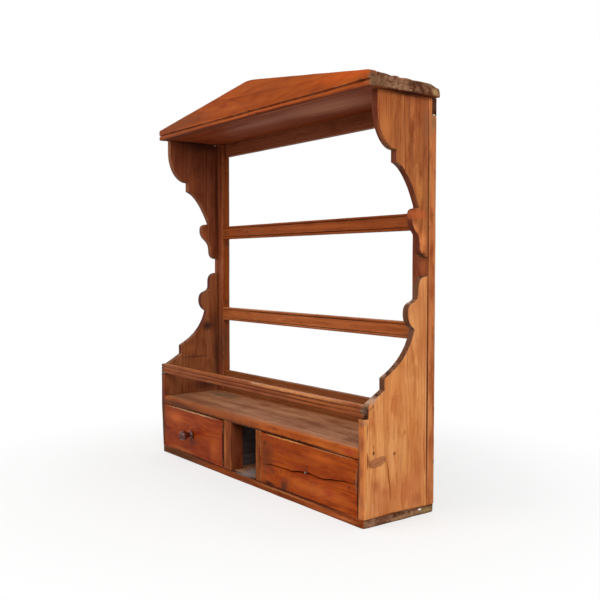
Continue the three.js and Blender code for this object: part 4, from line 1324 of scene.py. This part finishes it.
rightFront = {
    **drawerFront, "finish": "drawer", "pith": (0.3, -0.055, 0.06), "seed": 88.8,
    "crack": {
        "width": 0.0056,
        "depth": 0.012,
        "path": [  # x and z
            (0.084, 0.069), (0.105, 0.0715), (0.125, 0.0738), (0.1565, 0.0748), (0.1785, 0.0746),
            (0.1939, 0.0756), (0.2061, 0.0742), (0.2331, 0.0785), (0.2596, 0.0819), (0.2769, 0.0832),
            (0.2911, 0.0818), (0.3136, 0.0804), (0.3328, 0.0811), (0.3599, 0.0860), (0.3863, 0.0892),
            (0.4069, 0.0928), (0.4222, 0.0928), (0.4480, 0.0947),
        ],
    },
    "knots": [{
        "at": (0.176, -0.109, 0.030), "size": (0.014, 0.006, 0.014),
        "tone": (74, 34, 20), "halo": (106, 48, 24), "pull": 0.014,
    }],
    "marks": touches(
        # painted highlight along the top arris (this row and the next)
        ((180, -107.5, 148.2), (100, 4, 2.4), (204, 138, 78), 0.85, 0.3, boxed),
        ((360, -107.5, 148.4), (90, 4, 2), (160, 110, 76), 0.8, 0.3, boxed),
        ((270.5, -109, 97.5), (2.8, 4, 3.5), (70, 22, 12), 0.9, 0.3),
        ((270, -109, 90), (7, 4, 9), (100, 44, 24), 0.75, 0.3),
        ((266, -109, 98.5), (3.5, 4, 4.5), (70, 30, 18), 0.7, 0.3),
        ((424.8, -109, 83.5), (7, 4, 6), (92, 38, 26), 0.75, 0.3),
        ((92, -109, 124), (11, 4, 9), (76, 34, 12), 0.8, 0.3),
        ((112, -109, 24), (44, 10, 9), (40, 20, 14), 0.9, 0.1),
        ((185, -109, 44), (24, 10, 26), (110, 48, 22), 0.6),
        ((90, -109, 85), (18, 10, 65), (96, 50, 22), 0.6),
        ((128, -109, 58), (26, 10, 12), (100, 44, 22), 0.6),
        ((320, -109, 128), (90, 10, 12), (192, 92, 32), 0.5),
        ((240, -109, 114), (90, 10, 8), (132, 56, 22), 0.5),
        ((400, -109, 45), (60, 10, 30), (172, 84, 34), 0.4),
        ((300, -109, 50), (140, 10, 26), (196, 104, 46), 0.5),
        ((340, -109, 82), (100, 10, 10), (116, 48, 22), 0.5),
        # painted shadow in the gap at the drawer's right end
        ((454, -108, 80), (4.5, 8, 66), (56, 24, 14), 0.85, 0.4),
        # painted shadow in the gap along the drawer's foot
        ((265, -108, 20.3), (188, 8, 3.6), (50, 20, 12), 0.9, 0.4, boxed),
        ((355, -109, 54), (30, 10, 20), (150, 52, 30), 0.7),
        ((90, -109, 60), (8, 10, 50), (120, 62, 34), 0.5),
        ((105, -109, 90), (44, 10, 70), (92, 42, 20), 0.7),
        ((448, -109, 100), (4, 4, 35), (128, 88, 66), 0.6, 0.3),
        ((443, -109, 122), (3, 4, 6), (60, 28, 18), 0.7, 0.3),
        ((444, -109, 100), (3, 4, 7), (60, 28, 18), 0.7, 0.3),
    ),
}
fronts = {}
for hand, board in (("left", leftFront), ("right", rightFront)):
    node = hand + "_drawer_front"
    fronts[hand] = plainBoard(hand + "DrawerFront", node, board)

crack = rightFront["crack"]
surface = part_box("right_drawer_front")[0].y
path = [(x, surface, z) for x, z in crack["path"]]
carve(fronts["right"], crackBlade(path, (0, -1, 0), crack["width"], crack["depth"]), crackShadeWood)

# the drawer boxes, all of the same thin boards
boxBoard = {
    "edge": 0.0008, "waves": (0.0003, 0.06), "step": 0.03,
    "finish": "bare", "contrast": 0.6, "worn": (150, 112, 76), "gloss": 0.62,
}
boxBoards = {
    "Left side": {"grain": "y", "pith": (0.3, 0, 0.02)},
    "Right side": {"grain": "y", "pith": (-0.3, 0, 0.1)},
    "Back": {"grain": "x", "pith": (0, 0.13, 0.05)},
    "Bottom": {"grain": "x", "pith": (0, 0, -0.03)},
}
for hand, seed in (("left", 91.0), ("right", 95.0)):
    for shift, (place, wood) in enumerate(boxBoards.items()):
        name = hand + "Drawer" + place.title().replace(" ", "")
        node = hand + "_drawer_" + place.lower().replace(" ", "_")
        cuts = {wood["grain"]: boxBoard["step"]}
        board = dict(boxBoard, cuts=cuts, seed=seed + shift, **wood)
        plainBoard(name, node, board)
print("drawers made")

# turned knob of the left drawer, iron pin left in the right one
knob = {
    "finish": "knob", "grain": "y", "pith": (-0.291, 0, 0.0833), "seed": 99.1, "ring": 0.003,
    "contrast": 0.4, "end": "knob", "uneven": 0.4, "wear": 0.0, "shine": 0.5, "gloss": 0.16,
    "relief": 0.05,
}
knobWood = pine("knobWood", knob)
showPiece(boardMesh("left_drawer_knob"), "leftDrawerKnob", "left_drawer_knob", knobWood)
pin = {"tone": (118, 108, 98), "gloss": 0.45}
oldIron = plainTone("oldIron", pin)
showPiece(boardMesh("right_drawer_knob_pin"), "rightDrawerPin", "right_drawer_knob_pin", oldIron)
print("knob and pin made")
